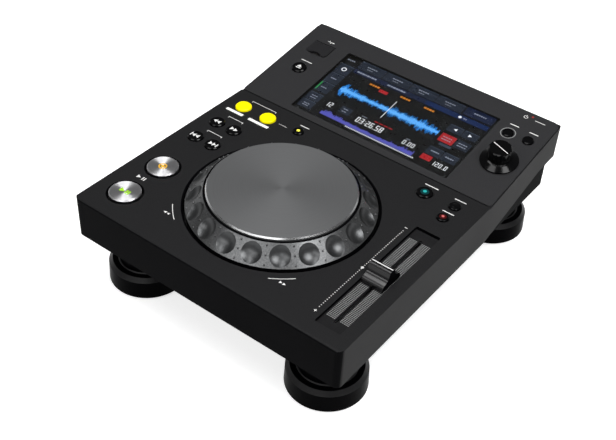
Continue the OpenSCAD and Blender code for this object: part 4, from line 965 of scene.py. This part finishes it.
PAPER_LIFT = 0.65                # light added to the paper where it is looked at, up to white
ROOM_LIGHT = 0.24                # the level of the room's light on matt faces
WALL, CEILING = 1.0, 0.10        # the levels that are seen, at the horizon and overhead
WALL_TOP = 0.04, 0.3             # sines of the heights between which the one fades to the other
FLOOR_SIDE = 6.0                 # from the middle of the floor to its edge


def looked_at(tree):
    """1 for a ray from the camera, also by way of a mirror or glass, and 0 for one from a matt face."""
    path = add(tree, "ShaderNodeLightPath")
    either = add(tree, "ShaderNodeMath", {"operation": "MAXIMUM"},
                 links={0: path.outputs["Is Camera Ray"], 1: path.outputs["Is Glossy Ray"]})
    any_of = add(tree, "ShaderNodeMath", {"operation": "MAXIMUM"},
                 links={0: either.outputs[0], 1: path.outputs["Is Transmission Ray"]})
    return any_of.outputs[0]


def floor_material():
    """Pale paper sweep: matt, and lifted to white where it is looked at."""
    m = bpy.data.materials.new("studio_pale_paper")
    m.use_nodes = True
    tree = m.node_tree
    tree.nodes.clear()
    paper = add(tree, "ShaderNodeBsdfDiffuse", values={"Color": linear("e6e6e6")})
    lift = add(tree, "ShaderNodeEmission", values={"Color": linear("ffffff"), "Strength": PAPER_LIFT})
    both = add(tree, "ShaderNodeAddShader", links={0: paper.outputs[0], 1: lift.outputs[0]})
    mix = add(tree, "ShaderNodeMixShader",
              links={0: looked_at(tree), 1: paper.outputs[0], 2: both.outputs[0]})
    add(tree, "ShaderNodeOutputMaterial", links={"Surface": mix.outputs[0]})
    return m


def studio_world():
    """White walls that darken towards a grey ceiling, so that glossy black keeps its depth."""
    world = bpy.data.worlds.new("studio")
    world.use_nodes = True
    tree = world.node_tree
    tree.nodes.clear()
    ray = add(tree, "ShaderNodeTexCoord")
    height = add(tree, "ShaderNodeSeparateXYZ", links={"Vector": ray.outputs["Generated"]})
    wall = add(tree, "ShaderNodeMapRange", {"interpolation_type": "SMOOTHSTEP"},
               {"From Min": WALL_TOP[0], "From Max": WALL_TOP[1], "To Min": WALL, "To Max": CEILING},
               {"Value": height.outputs["Z"]})
    level = add(tree, "ShaderNodeMapRange", values={"To Min": ROOM_LIGHT},
                links={"Value": looked_at(tree), "To Max": wall.outputs["Result"]})
    back = add(tree, "ShaderNodeBackground", values={"Color": linear("ffffff")},
               links={"Strength": level.outputs["Result"]})
    add(tree, "ShaderNodeOutputWorld", links={"Surface": back.outputs[0]})
    return world


def softbox(name, place, aim, size, power):
    """A rectangular soft light that looks at a point."""
    data = bpy.data.lights.new(name, "AREA")
    data.shape = "RECTANGLE"
    data.size, data.size_y = size
    data.energy = power
    lamp = bpy.data.objects.new(name, data)
    bpy.context.scene.collection.objects.link(lamp)
    lamp.location = place
    lamp.rotation_euler = (Vector(aim) - Vector(place)).to_track_quat("-Z", "Y").to_euler()


floor_mesh = bpy.data.meshes.new("studio_floor")
floor_mesh.from_pydata([(x * FLOOR_SIDE, y * FLOOR_SIDE, 0) for x, y in ((-1, -1), (1, -1), (1, 1), (-1, 1))],
                       [], [(0, 1, 2, 3)])
floor_mesh.materials.append(floor_material())
floor = bpy.data.objects.new("studio_floor", floor_mesh)
bpy.context.scene.collection.objects.link(floor)

bpy.context.scene.world = studio_world()

softbox("key_right", (0.55, -0.06, 0.98), (0.02, 0, 0.07), (0.55, 0.55), 7.4)
softbox("top_key", (-0.3, -0.2, 1.4), (0, -0.06, 0.09), (1.3, 0.4), 7.4)
softbox("front_strip", (0, -1.2, 1.2), (0, -0.06, 0.09), (1.8, 0.4), 7.7)

# The camera stands as the photograph's did, fitted to the corners and circles of the case.
AZIMUTH, ELEVATION, ROLL = math.radians(34.0), math.radians(40.32), math.radians(4.14)
CAMERA_AT = 0.3599, -0.5275, 0.5708

back_way = Vector((math.sin(AZIMUTH) * math.cos(ELEVATION), -math.cos(AZIMUTH) * math.cos(ELEVATION),
                   math.sin(ELEVATION)))
across = Vector((math.cos(AZIMUTH), math.sin(AZIMUTH), 0))
up_way = across.cross(-back_way)
right_way = across * math.cos(ROLL) + up_way * math.sin(ROLL)
top_way = -across * math.sin(ROLL) + up_way * math.cos(ROLL)
lens = bpy.data.cameras.new("camera")
lens.lens = 60.89
lens.sensor_width = 36.0
lens.shift_x = -0.0364
lens.shift_y = 0.0002
lens.clip_start = 0.01
camera = bpy.data.objects.new("camera", lens)
bpy.context.scene.collection.objects.link(camera)
camera.matrix_world = Matrix([*zip(right_way, top_way, back_way, CAMERA_AT), (0, 0, 0, 1)])
bpy.context.scene.camera = camera

bpy.context.scene.view_settings.view_transform = "Standard"
